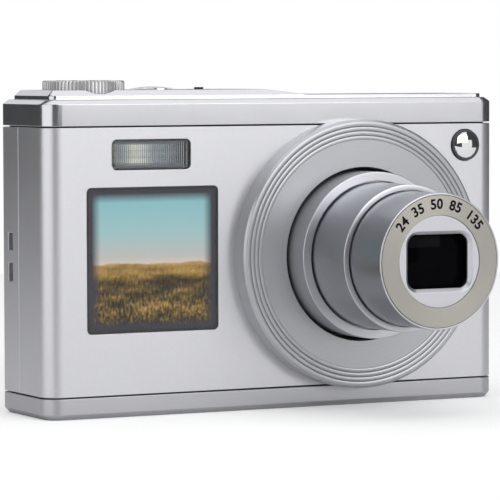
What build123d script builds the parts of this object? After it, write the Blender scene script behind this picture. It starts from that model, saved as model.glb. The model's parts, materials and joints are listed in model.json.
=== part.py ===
from build123d import *
import math
import os

# A compact digital camera with a telescoping zoom lens and a second screen on its front.
# All sizes are in millimetres. X runs to the right as seen from the front, the front faces -Y
# and Z is up. The origin is the mouth of the tripod socket, in the plane of the bottom.

# ---- Body ----
body_width = 105.0
body_depth = 22.6
front_corner_r = 3.8
rear_corner_r = 1.5
least_corner_r = 0.3
wall = 1.2
floor_t = 1.6
seam_gap = 0.28
bottom_bevel_h = 1.07
bottom_bevel_in = 1.0
bottom_seam_z = 4.45
top_seam_z = 58.8
cover_split_y = 2.5
cover_split_gap = 0.1
cap_edge_z = 63.35
cap_bevel_z = 64.2
cap_bevel_in = 1.2
deck_foot_in = 2.1
deck_z = 65.0
plateau_z = 66.15
plateau_in = 3.05
plateau_end_x = -1.5
ramp_end_x = 7.7
cap_ceiling_z = 62.6

# ---- Clearances ----
running = 0.15          # around a moving piece
loose = 0.3             # between separate inner pieces
snug = 0.05             # between two pieces that are glued or pressed
pin_fit = 0.03          # radial, between a pin or shaft and its bore
through = 2.0           # how far a cutter runs past the face that it opens

# ---- Inner frame ----
chassis_gap = 0.15
chassis_wall = 0.9
rail_low_z = 6.4
rail_high_z = 57.7
shelf_t = 0.9
shelf_low_z = 5.4
shelf_left_x = -11.0
post_in = 5.5
bay_wall = 0.8
screw_y = 5.0
screw_head_r = 1.4
screw_head_h = 0.8
screw_shank_r = 0.7
screw_length = 6.0
screw_sink = 0.25
screw_boss_r = 1.75
driver_slot_w = 0.35
driver_slot_depth = 0.3

# ---- Lens ----
lens_x = 17.69
lens_z = 31.83
bezel_r = 28.0
bezel_hole_r = 18.07
bezel_height = 4.44
bezel_shell = 1.3
bezel_edge = 0.5
bezel_face_r = 23.8
bezel_face_sink = 0.28
bezel_spigot_wall = 0.83
stage_r = [17.26, 15.07, 13.72]
stage_rim_in_r = [15.40, 13.93, 12.92]
stage_wall = [0.8, 0.57, 0.8]
stage_reach = [5.36, 18.48, 30.75]      # how far each front stands before the bezel
stage_rim_t = [1.0, 0.8, 0.8]
stage_flange_l = [3.6, 2.5, 2.5]
stage_flange_gap = [0.2, 0.16, 0.15]
name_ring_t = 0.85
name_ring_in_r = 9.3
name_ring_bevel = 0.35
mask_sink = 0.15
mask_flange_t = 0.4
mask_window_w = 13.9
mask_window_h = 10.85
mask_window_r = 2.0
mask_bevel = 0.7
blade_t = 0.4
blade_gap = 0.12
blade_overlap = 0.22
blade_edge = 0.3
front_group_r = 8.6
front_group_t = 3.4
front_group_l = 4.8
zoom_group_r = 6.2
zoom_group_t = 3.0
zoom_group_hub_r = 8.2
zoom_group_hub_l = 5.2
zoom_group_disc_t = 0.8
glass_crown = 1.1
housing_bore_r = 18.25
housing_wall = 0.95
housing_lip_r = 17.42
housing_lip_t = 0.7
housing_front_gap = 0.45
housing_plate_w = 44.0
housing_plate_y = 4.5
housing_plate_t = 1.2
focus_holder_r = 9.0
focus_holder_t = 1.6
focus_front_y = 2.0
focus_glass_r = 6.0
guide_rod_r = 0.5
guide_rod_at = 7.6
guide_rod_front_y = 1.45
sensor_w = 11.0
sensor_h = 9.5
sensor_t = 1.0
sensor_board_w = 24.0
sensor_board_h = 20.0
board_t = 0.9
filter_w = 8.6
filter_h = 7.0
filter_t = 0.3
zoom_motor_r = 3.2
zoom_motor_l = 18.0
zoom_motor_x = 43.7
gearbox_z = 12.0
gearbox_h = 7.8
gearbox_w = 6.4
gearbox_d = 9.0
focus_motor_r = 2.2
focus_motor_l = 9.0
focus_motor_out_x = -15.7
focus_motor_out_z = 18.4

# ---- Front of the body ----
screen_x = -28.8
screen_z = 31.8
screen_size = 29.4
screen_r = 1.0
screen_glass_t = 0.85
screen_glass_sink = 0.08
screen_ledge = 1.0
screen_module_size = 27.0
screen_module_t = 2.5
flash_x = -29.1
flash_z = 53.1
flash_w = 17.6
flash_h = 6.05
flash_r = 1.1
flash_flange = 0.6
flash_flange_t = 0.45
flash_sink = 0.06
reflector_depth = 5.0
reflector_wall = 0.5
reflector_end = 0.8
flash_tube_r = 0.8
flash_tube_over = 0.7
lamp_x = 44.75
lamp_z = 54.1
lamp_r = 3.3
lamp_rim_w = 0.5
lamp_rim_out = 0.5
lamp_dome_out = 0.95
lamp_depth = 1.25
capacitor_r = 3.2
capacitor_l = 28.0
capacitor_y = -2.0
capacitor_z = 12.0

# ---- Rear of the body ----
rear_screen_x = 17.0
rear_screen_z = 31.0
rear_screen_w = 62.0
rear_screen_h = 47.0
rear_screen_r = 1.5
rear_glass_t = 0.95
rear_ledge = 1.6
rear_module_t = 2.4
button_r = 2.6
button_out = 0.3
button_flange = 0.6
button_flange_t = 0.35
button_columns = [-41.0, -25.0]
button_rows = [41.5, 50.0]
button_names = ["playback_button", "delete_button", "selfie_button", "menu_button"]
nav_x = -33.0
nav_z = 24.0
nav_r = 9.2
nav_in_r = 4.15
nav_out = 0.4
nav_clear = 0.3
nav_flange = 0.8
nav_flange_t = 0.35
nav_tilt_room = 0.5
nav_flange_y = 9.2
nav_mat_y = 8.5
nav_mat_t = 0.35
nav_mat_r = 8.0
ok_r = 3.7
ok_back_y = 9.5
main_board_y = 7.0
switch_r = 1.4
switch_t = 0.6
nav_switch_t = 0.25
nav_switch_at = 6.2
strap_y = 6.6
strap_w = 2.2
strap_low_z = 27.1
strap_high_z = 37.1
strap_bar_z = 31.0
strap_bar_h = 2.5
strap_bar_t = 1.2
strap_depth = 2.4
strap_boss = 0.8
usb_z = 40.0
usb_y = 6.3
usb_w = 8.9
usb_h = 3.2
usb_shell = 0.3
usb_depth = 5.7
usb_tongue_t = 0.7

# ---- Controls on the top ----
controls_y = -0.15
dial_x = -39.1
dial_r = 8.35
dial_top_z = 68.1
dial_clear = 0.35
dial_floor_z = 64.2
dial_edge = 0.5
dial_shaft_r = 2.0
dial_shaft_l = 3.4
dial_switch_w = 10.0
dial_switch_h = 3.4
lever_x = -23.7
lever_r = 4.95
lever_in_r = 3.3
lever_clear = 0.2
lever_floor_z = 64.7
lever_tab_w = 2.4
lever_tab_top_z = 66.5
dome_top_z = 66.8
shutter_r = 3.15
shutter_travel = 0.8
shutter_stem_r = 1.2
power_x = -12.85
power_r = 2.5
power_out = 0.05
power_pip_r = 0.95
power_pip_out = 0.45
power_travel = 0.4
top_board_z = 58.0
top_board_right_x = -8.0
mic_x = 28.0
mic_r = 2.0
mic_h = 2.0
mic_hole_r = 0.5

# ---- Power, memory and the underside ----
battery_w = 31.5
battery_t = 6.0
battery_h = 39.5
battery_left_x = -45.0
battery_front_y = -3.2
battery_low_z = 2.3
contact_w = 18.0
contact_h = 2.4
card_w = 24.0
card_h = 32.0
card_t = 2.1
card_left_x = -44.0
card_front_y = 4.3
card_low_z = 3.2
card_shell_t = 0.25
card_shell_low_z = 8.0
card_shell_over = 1.5
door_left_x = -46.5
door_right_x = -11.5
door_axis_y = -5.3
door_t = 1.5
door_rear_y = 8.4
door_clear = 0.2
pin_r = 0.4
pin_end = 1.3
latch_w = 5.0
latch_d = 2.6
latch_t = 0.55
latch_travel = 2.0
latch_y = 5.6
latch_stem = 1.0
latch_back_t = 0.5
latch_ridges = 4
latch_ridge_w = 0.4
tripod_bore_r = 3.175
tripod_nut_r = 4.4
tripod_nut_h = 5.2
tripod_flange_r = 6.0
tripod_flange_t = 1.0
speaker_x = 33.0
speaker_r = 5.0
speaker_h = 3.0
speaker_slots = 5
speaker_slot_w = 0.8
speaker_slot_l = 5.0
speaker_slot_pitch = 1.6

# ---- Worked out from the above ----
half_w = body_width / 2
front_y = -body_depth / 2
rear_y = body_depth / 2
front_wall_y = front_y + wall
rear_wall_y = rear_y - wall
cover_low_z = bottom_seam_z + seam_gap / 2
cover_high_z = top_seam_z - seam_gap / 2
tub_high_z = bottom_seam_z - seam_gap / 2
cap_low_z = top_seam_z + seam_gap / 2
chassis_in = wall + chassis_gap
post_x = half_w - post_in
screw_x = half_w - chassis_in - screw_boss_r
chassis_low_z = floor_t + loose
chassis_high_z = cap_ceiling_z - loose
bezel_y = front_y - bezel_height
stage_y = [bezel_y - reach for reach in stage_reach]
housing_front_y = front_wall_y + housing_front_gap
spigot_r = bezel_hole_r + bezel_spigot_wall
main_board_back_y = main_board_y + board_t
bay_left_x = battery_left_x - loose
bay_right_x = battery_left_x + battery_w + loose
bay_front_y = battery_front_y - loose
bay_rear_y = battery_front_y + battery_t + loose
bay_high_z = battery_low_z + battery_h + loose
shelf_high_z = shelf_low_z + shelf_t
capacitor_x = bay_right_x + bay_wall + loose + capacitor_r
top_board_high_z = top_board_z + board_t
door_front_y = door_axis_y - door_t / 2


# ---- Shapes that several pieces share ----
def block(x_low, x_high, y_low, y_high, z_low, z_high):
    """Box between two corners."""
    middle = Pos((x_low + x_high) / 2, (y_low + y_high) / 2, (z_low + z_high) / 2)
    return middle * Box(x_high - x_low, y_high - y_low, z_high - z_low)


def outline(inset):
    """Body outline seen from above, moved in by inset."""
    plan = Rectangle(body_width - 2 * inset, body_depth - 2 * inset)
    front = plan.vertices().filter_by(lambda corner: corner.Y < 0)
    plan = fillet(front, max(front_corner_r - inset, least_corner_r))
    rear = plan.vertices().filter_by(lambda corner: corner.Y > 0)
    return fillet(rear, max(rear_corner_r - inset, least_corner_r))


def slab(z_low, z_high, inset):
    """Body outline with straight sides."""
    return extrude(Pos(0, 0, z_low) * outline(inset), z_high - z_low)


def tier(z_low, inset_low, z_high, inset_high):
    """Body outline with sides that lean in."""
    return loft([Pos(0, 0, z_low) * outline(inset_low), Pos(0, 0, z_high) * outline(inset_high)])


def facing(x, y, z):
    """Plane that looks forward, with its local Y up."""
    return Plane(origin=(x, y, z), x_dir=(1, 0, 0), z_dir=(0, -1, 0))


def rod_y(r, x, z, y_low, y_high):
    """Rod along Y."""
    return extrude(facing(x, y_high, z) * Circle(r), y_high - y_low)


def tube_y(r_out, r_in, x, z, y_low, y_high):
    """Tube along Y."""
    return extrude(facing(x, y_high, z) * (Circle(r_out) - Circle(r_in)), y_high - y_low)


def plate_y(w, h, r, x, z, y_low, y_high):
    """Upright plate with rounded corners."""
    return extrude(facing(x, y_high, z) * RectangleRounded(w, h, r), y_high - y_low)


def rod_z(r, x, y, z_low, z_high):
    """Rod along Z."""
    return extrude(Pos(x, y, z_low) * Circle(r), z_high - z_low)


def tube_z(r_out, r_in, x, y, z_low, z_high):
    """Tube along Z."""
    return extrude(Pos(x, y, z_low) * (Circle(r_out) - Circle(r_in)), z_high - z_low)


def rod_x(r, y, z, x_low, x_high):
    """Rod along X."""
    circle = Plane(origin=(x_low, y, z), x_dir=(0, 1, 0), z_dir=(1, 0, 0)) * Circle(r)
    return extrude(circle, x_high - x_low)


def turned_y(profile):
    """Solid turned about the lens axis, from points of (radius, y)."""
    points = [(lens_x + radius, y, lens_z) for radius, y in profile]
    face = make_face(Polyline(*points, close=True))
    return revolve(face, Axis((lens_x, 0, lens_z), (0, 1, 0)), 360)


def lens_glass(r, y_front, thickness, crown):
    """Round glass with a bulging front and a flat back."""
    ball_r = (r * r + crown * crown) / (2 * crown)
    ball = Pos(lens_x, y_front + ball_r, lens_z) * Sphere(ball_r)
    return ball & rod_y(r, lens_x, lens_z, y_front, y_front + thickness)


# ---- Casing ----
def cover_band():
    """Wall between the two caps, all the way round."""
    return slab(cover_low_z, cover_high_z, 0) - slab(cover_low_z, cover_high_z, wall)


def front_cover():
    """Front shell with the openings for lens, screen, flash and lamp."""
    half = block(-half_w, half_w, front_y, cover_split_y - cover_split_gap / 2, cover_low_z, cover_high_z)
    shell = cover_band() & half
    shell -= rod_y(spigot_r + snug, lens_x, lens_z, front_y - through, front_wall_y + through)
    pocket = screen_size + 2 * snug
    glass_back_y = front_y + screen_glass_sink + screen_glass_t
    shell -= plate_y(pocket, pocket, screen_r, screen_x, screen_z, front_y - through, glass_back_y)
    sight = screen_size - 2 * screen_ledge
    shell -= plate_y(sight, sight, screen_r, screen_x, screen_z, front_y, front_wall_y + through)
    flash_cut_w = flash_w + 2 * snug
    flash_cut_h = flash_h + 2 * snug
    flash_back_y = front_wall_y + through
    shell -= plate_y(flash_cut_w, flash_cut_h, flash_r, flash_x, flash_z, front_y - through, flash_back_y)
    shell -= rod_y(lamp_r + snug, lamp_x, lamp_z, front_y - through, front_wall_y + through)
    return shell


def button_places():
    """Centres of the four round rear buttons."""
    return [(x, z) for z in button_rows for x in button_columns]


def strap_space():
    """Room behind the strap bar, open at both its ends."""
    x_out = -half_w - through
    x_in = -half_w + strap_depth
    space = block(x_out, x_in, strap_y - strap_w / 2, strap_y + strap_w / 2, strap_low_z, strap_high_z)
    bar = block(x_out, -half_w + strap_bar_t, strap_y - strap_w, strap_y + strap_w,
                strap_bar_z, strap_bar_z + strap_bar_h)
    return space - bar


def strap_boss_block(grow):
    """Thick place in the side wall around the strap bar."""
    spread = strap_w / 2 + strap_boss + grow
    return block(-half_w + wall / 2 - grow, -half_w + strap_depth + strap_boss + grow,
                 strap_y - spread, strap_y + spread,
                 strap_low_z - strap_boss - grow, strap_high_z + strap_boss + grow)


def rear_cover():
    """Rear shell with the screen window, the button holes and the strap bar."""
    half = block(-half_w, half_w, cover_split_y + cover_split_gap / 2, rear_y, cover_low_z, cover_high_z)
    shell = cover_band() & half
    shell += strap_boss_block(0)
    shell -= strap_space()
    pocket_w = rear_screen_w + 2 * snug
    pocket_h = rear_screen_h + 2 * snug
    shell -= plate_y(pocket_w, pocket_h, rear_screen_r, rear_screen_x, rear_screen_z,
                     rear_y - rear_glass_t, rear_y + through)
    sight_w = rear_screen_w - 2 * rear_ledge
    sight_h = rear_screen_h - 2 * rear_ledge
    shell -= plate_y(sight_w, sight_h, rear_screen_r, rear_screen_x, rear_screen_z,
                     rear_wall_y - through, rear_y)
    for x, z in button_places():
        shell -= rod_y(button_r + running, x, z, rear_wall_y - through, rear_y + through)
    shell -= rod_y(nav_r + nav_clear, nav_x, nav_z, rear_wall_y - through, rear_y + through)
    relief_r = nav_r + nav_flange + nav_clear
    relief_y = nav_flange_y + nav_flange_t + nav_tilt_room
    shell -= rod_y(relief_r, nav_x, nav_z, nav_flange_y - through, relief_y)
    shell -= usb_slot(snug)
    return shell


def usb_slot(grow):
    """Rounded slot in the right-hand side for the USB socket."""
    side = Plane(origin=(half_w - usb_depth, usb_y, usb_z), x_dir=(0, 1, 0), z_dir=(1, 0, 0))
    face = side * SlotOverall(usb_w + 2 * grow, usb_h + 2 * grow, rotation=90)
    return extrude(face, usb_depth + through)


def bottom_cover():
    """Tub under the body, with the battery opening, speaker slots and screw holes."""
    tub = tier(0, bottom_bevel_in, bottom_bevel_h, 0)
    tub += slab(bottom_bevel_h, tub_high_z, 0)
    tub -= slab(floor_t, tub_high_z + through, wall)
    tub -= block(door_left_x - door_clear, door_right_x + door_clear, door_front_y - door_clear,
                 door_rear_y + door_clear, -through, floor_t + through)
    tub -= rod_x(pin_r + snug, door_axis_y, door_t / 2, door_left_x - pin_end, door_right_x + pin_end)
    tub -= rod_z(tripod_nut_r + snug, 0, 0, -through, floor_t + through)
    for step in range(speaker_slots):
        x = speaker_x + (step - (speaker_slots - 1) / 2) * speaker_slot_pitch
        slot = Pos(x, 0, 0) * SlotOverall(speaker_slot_l, speaker_slot_w, rotation=90)
        tub -= extrude(Pos(0, 0, -through) * slot, floor_t + 2 * through)
    for x, y in screw_places():
        tub -= rod_z(screw_head_r + running, x, y, -through, screw_sink + screw_head_h)
        tub -= rod_z(screw_shank_r + running, x, y, 0, floor_t + through)
    return tub


def plateau():
    """Raised left part of the deck, which ramps down behind the lens."""
    profile = [
        (-half_w, deck_z),
        (-half_w, plateau_z),
        (plateau_end_x, plateau_z),
        (ramp_end_x, deck_z),
    ]
    face = facing(0, rear_y, 0) * make_face(Polyline(*profile, close=True))
    return extrude(face, body_depth) & tier(deck_z, deck_foot_in, plateau_z, plateau_in)


def dome_ball():
    """Ball whose top is the shallow dome over zoom lever and shutter button."""
    crown = dome_top_z - plateau_z
    ball_r = (lever_r * lever_r + crown * crown) / (2 * crown)
    return Pos(lever_x, controls_y, dome_top_z - ball_r) * Sphere(ball_r)


def top_cover():
    """Top cap with its deck, plateau and the pockets for dial, lever and button."""
    cap = slab(cap_low_z, cap_edge_z, 0)
    cap += tier(cap_edge_z, 0, cap_bevel_z, cap_bevel_in)
    cap += slab(cap_bevel_z, deck_z, deck_foot_in)
    cap += plateau()
    cap -= slab(cap_low_z - through, cap_ceiling_z, wall)
    cap -= rod_z(dial_r + dial_clear, dial_x, controls_y, dial_floor_z, plateau_z + through)
    cap -= rod_z(dial_shaft_r + running, dial_x, controls_y, cap_ceiling_z - through, dial_floor_z)
    cap -= rod_z(lever_r + lever_clear, lever_x, controls_y, lever_floor_z, plateau_z + through)
    cap -= rod_z(shutter_stem_r + running, lever_x, controls_y, cap_ceiling_z - through, lever_floor_z)
    cap -= rod_z(power_r + running, power_x, controls_y, cap_ceiling_z - through, plateau_z + through)
    cap -= rod_z(mic_hole_r, mic_x, controls_y, cap_ceiling_z - through, deck_z + through)
    return cap


def screw_places():
    """Screws in the four corners of the bottom."""
    return [(side * screw_x, depth * screw_y) for side in (-1, 1) for depth in (-1, 1)]


def case_screws():
    """Four countersunk machine screws that hold the bottom cover to the chassis."""
    group = []
    head_top_z = screw_sink + screw_head_h
    for x, y in screw_places():
        screw = rod_z(screw_head_r, x, y, screw_sink, head_top_z)
        screw += rod_z(screw_shank_r, x, y, head_top_z, screw_sink + screw_length)
        for angle in (0, 90):
            slot = Box(screw_head_r, driver_slot_w, 2 * driver_slot_depth)
            screw -= Pos(x, y, screw_sink) * Rot(0, 0, angle) * slot
        group.append(screw)
    return Compound(children=group)


def chassis():
    """Moulded inner frame: rails behind the seams, corner posts, shelves and battery bay."""
    ring = slab(chassis_low_z, chassis_high_z, chassis_in)
    ring -= slab(chassis_low_z, chassis_high_z, chassis_in + chassis_wall)
    ring -= block(-post_x, post_x, front_y, rear_y, rail_low_z, rail_high_z)
    inner_x = half_w - chassis_in
    inner_y = rear_y - chassis_in - chassis_wall / 2
    ring += block(shelf_left_x, inner_x - front_corner_r, -inner_y, inner_y, shelf_low_z, shelf_high_z)
    high_left_x = top_board_right_x + loose
    shelf_z = rail_high_z
    ring += block(high_left_x, inner_x - front_corner_r, -inner_y, inner_y, shelf_z, shelf_z + shelf_t)
    bay_x_low = bay_left_x - bay_wall
    bay_x_high = bay_right_x + bay_wall
    bay_y_low = bay_front_y - bay_wall
    bay_y_high = bay_rear_y + bay_wall
    ring += block(bay_x_low, bay_x_high, bay_y_low, bay_y_high, shelf_low_z, bay_high_z)
    ring -= block(bay_left_x, bay_right_x, bay_front_y, bay_rear_y, 0, bay_high_z + through)
    bay_wall_top_z = shelf_high_z + shelf_t
    ring += block(bay_right_x, bay_x_high, -inner_y, main_board_y - snug, shelf_low_z, bay_wall_top_z)
    ring += block(bay_x_high, shelf_left_x + shelf_t, bay_y_low, bay_y_high, shelf_low_z, shelf_high_z)
    rib_x = -inner_x + chassis_wall / 2
    ring += block(rib_x, bay_x_low, bay_y_low, bay_y_low + bay_wall, shelf_low_z, bay_high_z)
    for x, y in screw_places():
        ring += rod_z(screw_boss_r, x, y, chassis_low_z, rail_low_z + 2 * shelf_t)
        ring -= rod_z(screw_shank_r + pin_fit, x, y, 0, screw_sink + screw_length + loose)
    ring -= strap_boss_block(loose)
    ring -= usb_body(loose)
    return ring


# ---- Lens ----
def lens_bezel():
    """Stepped ring around the lens, with a spigot that centres it in the front cover."""
    face_y = bezel_y + bezel_face_sink
    inner_y = bezel_y + bezel_shell
    return turned_y([
        (bezel_hole_r, face_y),
        (bezel_face_r, face_y),
        (bezel_face_r, bezel_y),
        (bezel_r - bezel_edge, bezel_y),
        (bezel_r, bezel_y + bezel_edge),
        (bezel_r, front_y),
        (bezel_r - bezel_shell, front_y),
        (bezel_r - bezel_shell, inner_y),
        (spigot_r, inner_y),
        (spigot_r, front_wall_y),
        (bezel_hole_r, front_wall_y),
    ])


def lens_housing():
    """Fixed tube that guides the first stage, on a plate with the rods of the focus group."""
    plate_z_low = shelf_high_z + loose
    plate_z_high = rail_high_z - loose
    plate_x_low = lens_x - housing_plate_w / 2
    plate_x_high = lens_x + housing_plate_w / 2
    plate_y_high = housing_plate_y + housing_plate_t
    body = block(plate_x_low, plate_x_high, housing_plate_y, plate_y_high, plate_z_low, plate_z_high)
    body += rod_y(housing_bore_r + housing_wall, lens_x, lens_z, housing_front_y, housing_plate_y)
    body -= rod_y(housing_bore_r, lens_x, lens_z, housing_front_y + housing_lip_t, housing_plate_y)
    body -= rod_y(housing_lip_r, lens_x, lens_z, housing_front_y - through, housing_front_y + through)
    hole_w = sensor_w + 2 * loose
    hole_h = sensor_h + 2 * loose
    body -= plate_y(hole_w, hole_h, least_corner_r, lens_x, lens_z, 0, plate_y_high + through)
    for side in (-1, 1):
        x = lens_x + side * guide_rod_at
        body += rod_y(guide_rod_r, x, lens_z, guide_rod_front_y, housing_plate_y)
    return body


def barrel_stage(number, bore_r):
    """Telescoping tube with a front rim and a rear flange that the stage outside it traps."""
    front = stage_y[number]
    rim_back = front + stage_rim_t[number]
    flange_front = stage_flange_front(number)
    rear = flange_front + stage_flange_l[number]
    outer = stage_r[number]
    inner = outer - stage_wall[number]
    flange_r = bore_r - stage_flange_gap[number]
    edge = stage_wall[number] / 2
    return turned_y([
        (stage_rim_in_r[number], front),
        (outer - edge, front),
        (outer, front + edge),
        (outer, flange_front),
        (flange_r, flange_front),
        (flange_r, rear),
        (inner, rear),
        (inner, rim_back),
        (stage_rim_in_r[number], rim_back),
    ])


def stage_flange_front(number):
    """Front of a stage's flange, just behind the rim or lip that stops it."""
    if number == 0:
        return housing_front_y + housing_lip_t + loose
    outside = number - 1
    return stage_y[outside] + stage_rim_t[outside] + loose


def barrel_stage_1():
    """Outermost stage, guided in the lens housing."""
    return barrel_stage(0, housing_bore_r)


def barrel_stage_2():
    """Middle stage."""
    return barrel_stage(1, stage_r[0] - stage_wall[0])


def barrel_stage_3():
    """Innermost stage, an open tube whose front is closed by the name ring."""
    front = stage_y[2] + name_ring_t
    flange_front = stage_flange_front(2)
    rear = flange_front + stage_flange_l[2]
    flange_r = stage_r[1] - stage_wall[1] - stage_flange_gap[2]
    inner = stage_rim_in_r[2]
    return turned_y([
        (inner, front + snug),
        (stage_r[2], front + snug),
        (stage_r[2], flange_front),
        (flange_r, flange_front),
        (flange_r, rear),
        (inner, rear),
    ])


def name_ring():
    """Flat ring on the front of the lens, with a bevelled rim."""
    front = stage_y[2]
    return turned_y([
        (name_ring_in_r, front),
        (stage_r[2] - name_ring_bevel, front),
        (stage_r[2], front + name_ring_bevel),
        (stage_r[2], front + name_ring_t),
        (name_ring_in_r, front + name_ring_t),
    ])


def lens_mask():
    """Disc with the picture window, set in the name ring from behind."""
    front = stage_y[2] + mask_sink
    flange_front = stage_y[2] + name_ring_t + snug
    back = flange_front + mask_flange_t
    mask = rod_y(name_ring_in_r - snug, lens_x, lens_z, front, back)
    mask += rod_y(stage_rim_in_r[2] - snug, lens_x, lens_z, flange_front, back)
    narrow = RectangleRounded(mask_window_w, mask_window_h, mask_window_r)
    mask -= extrude(facing(lens_x, back + through, lens_z) * narrow, 2 * through + back - front)
    wide_w = mask_window_w + 2 * mask_bevel
    wide_h = mask_window_h + 2 * mask_bevel
    wide = facing(lens_x, front, lens_z) * RectangleRounded(wide_w, wide_h, mask_window_r + mask_bevel)
    mask -= loft([wide, facing(lens_x, front + mask_bevel, lens_z) * narrow])
    return mask


def blade_front_y():
    """Front of the barrier blades, just behind the mask."""
    return stage_y[2] + name_ring_t + snug + mask_flange_t + blade_gap


def barrier_blade(side):
    """One blade of the lens barrier, open: side is 1 above the window and -1 below it."""
    edge_z = mask_window_h / 2 + blade_overlap
    disc_r = stage_rim_in_r[2] - blade_edge
    front = blade_front_y()
    disc = rod_y(disc_r, lens_x, lens_z, front, front + blade_t)
    low_z = lens_z + edge_z
    keep = block(lens_x - disc_r, lens_x + disc_r, front, front + blade_t, low_z, lens_z + disc_r)
    if side < 0:
        low_z = lens_z - disc_r
        keep = block(lens_x - disc_r, lens_x + disc_r, front, front + blade_t, low_z, lens_z - edge_z)
    return disc & keep


def front_group_y():
    """Front of the front lens group, behind the blades."""
    return blade_front_y() + blade_t + blade_gap


def front_group_holder():
    """Ring that carries the front glass in the third stage."""
    front = front_group_y()
    back = front + front_group_l
    return tube_y(stage_rim_in_r[2] - snug, front_group_r + snug, lens_x, lens_z, front, back)


def front_glass():
    """Front lens element."""
    return lens_glass(front_group_r, front_group_y() + snug, front_group_t, glass_crown)


def zoom_group_back_y():
    """Rear face of the zoom group, level with the rear of the second stage."""
    return stage_flange_front(1) + stage_flange_l[1]


def zoom_group_holder():
    """Disc across the rear of the second stage, with the hub for the zoom glass."""
    back = zoom_group_back_y()
    disc_r = stage_r[1] - stage_wall[1] - snug
    front = back - zoom_group_hub_l
    body = rod_y(disc_r, lens_x, lens_z, back - zoom_group_disc_t, back)
    body += rod_y(zoom_group_hub_r, lens_x, lens_z, front, back)
    body -= rod_y(zoom_group_r + snug, lens_x, lens_z, front - through, back + through)
    return body


def zoom_glass():
    """Moving lens element of the zoom group."""
    front = zoom_group_back_y() - zoom_group_hub_l + loose
    return lens_glass(zoom_group_r, front, zoom_group_t, glass_crown)


def focus_holder():
    """Frame of the focus group, which slides on the guide rods."""
    back = focus_front_y + focus_holder_t
    body = tube_y(focus_holder_r, focus_glass_r + snug, lens_x, lens_z, focus_front_y, back)
    for side in (-1, 1):
        x = lens_x + side * guide_rod_at
        body -= rod_y(guide_rod_r + running, x, lens_z, focus_front_y - through, back + through)
    return body


def focus_glass():
    """Focus lens element."""
    return lens_glass(focus_glass_r, focus_front_y + snug, focus_holder_t - 2 * snug, glass_crown / 2)


def image_sensor():
    """Sensor package in the housing's plate, with the infrared filter on its front."""
    front = housing_plate_y + snug
    package = plate_y(sensor_w, sensor_h, least_corner_r, lens_x, lens_z, front, front + sensor_t)
    return package + plate_y(filter_w, filter_h, least_corner_r, lens_x, lens_z, front - filter_t, front)


def sensor_board():
    """Board on the back of the lens housing that holds the sensor."""
    front = housing_plate_y + housing_plate_t + snug
    return plate_y(sensor_board_w, sensor_board_h, least_corner_r, lens_x, lens_z, front, front + board_t)


def zoom_drive():
    """Zoom motor on its closed gear train, beside the lens."""
    high_z = gearbox_z + gearbox_h
    drive = block(zoom_motor_x - gearbox_w / 2, zoom_motor_x + gearbox_w / 2,
                  housing_plate_y - loose - gearbox_d, housing_plate_y - loose, gearbox_z, high_z)
    return drive + rod_z(zoom_motor_r, zoom_motor_x, 0, high_z, high_z + zoom_motor_l)


def focus_motor():
    """Small motor in a corner of the housing's plate."""
    x = lens_x + focus_motor_out_x
    z = lens_z + focus_motor_out_z
    return rod_y(focus_motor_r, x, z, housing_plate_y - focus_motor_l, housing_plate_y)


# ---- Front screen, flash and lamp ----
def front_screen_glass():
    """Cover glass of the front screen."""
    front = front_y + screen_glass_sink
    return plate_y(screen_size, screen_size, screen_r, screen_x, screen_z, front, front + screen_glass_t)


def front_screen_module():
    """Display panel behind the front glass."""
    front = front_wall_y + snug
    size = screen_module_size
    return plate_y(size, size, least_corner_r, screen_x, screen_z, front, front + screen_module_t)


def flash_window():
    """Clear window of the flash, held by a flange inside the cover."""
    front = front_y + flash_sink
    flange_front = front_wall_y + snug
    back = flange_front + flash_flange_t
    window = plate_y(flash_w, flash_h, flash_r, flash_x, flash_z, front, back)
    wide_w = flash_w + 2 * flash_flange
    wide_h = flash_h + 2 * flash_flange
    window += plate_y(wide_w, wide_h, flash_r, flash_x, flash_z, flange_front, back)
    return window


def reflector_front_y():
    """Front of the flash reflector, against the back of the window."""
    return front_wall_y + 2 * snug + flash_flange_t


def flash_tube_y():
    """Axis of the flash tube, deep in its reflector."""
    return reflector_front_y() + reflector_depth - reflector_wall - 2 * flash_tube_r


def flash_reflector():
    """Mirror trough around the flash tube."""
    front = reflector_front_y()
    half = flash_w / 2 - reflector_end
    height = flash_h / 2
    trough = block(flash_x - half, flash_x + half, front, front + reflector_depth,
                   flash_z - height, flash_z + height)
    mouth_h = height - reflector_wall
    throat_h = flash_tube_r + loose
    throat_y = front + reflector_depth - reflector_wall
    section = Plane(origin=(flash_x - half, 0, flash_z), x_dir=(0, 1, 0), z_dir=(1, 0, 0))
    hollow = [(front, -mouth_h), (throat_y, -throat_h), (throat_y, throat_h), (front, mouth_h)]
    cut = extrude(section * make_face(Polyline(*hollow, close=True)), 2 * half)
    return trough - cut


def flash_tube():
    """Xenon tube of the flash."""
    half = flash_w / 2 - reflector_end + flash_tube_over
    return rod_x(flash_tube_r, flash_tube_y(), flash_z, flash_x - half, flash_x + half)


def flash_capacitor():
    """Storage capacitor of the flash, upright beside the battery bay."""
    return rod_z(capacitor_r, capacitor_x, capacitor_y, capacitor_z, capacitor_z + capacitor_l)


def lamp_rim():
    """Bright ring around the focus lamp."""
    back = front_y + lamp_depth
    return tube_y(lamp_r, lamp_r - lamp_rim_w, lamp_x, lamp_z, front_y - lamp_rim_out, back)


def lamp_lens():
    """Domed lens of the focus lamp."""
    r = lamp_r - lamp_rim_w - snug
    crown = lamp_dome_out
    ball_r = (r * r + crown * crown) / (2 * crown)
    ball = Pos(lamp_x, front_y - lamp_dome_out + ball_r, lamp_z) * Sphere(ball_r)
    return ball & rod_y(r, lamp_x, lamp_z, front_y - lamp_dome_out, front_y + lamp_depth)


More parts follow.
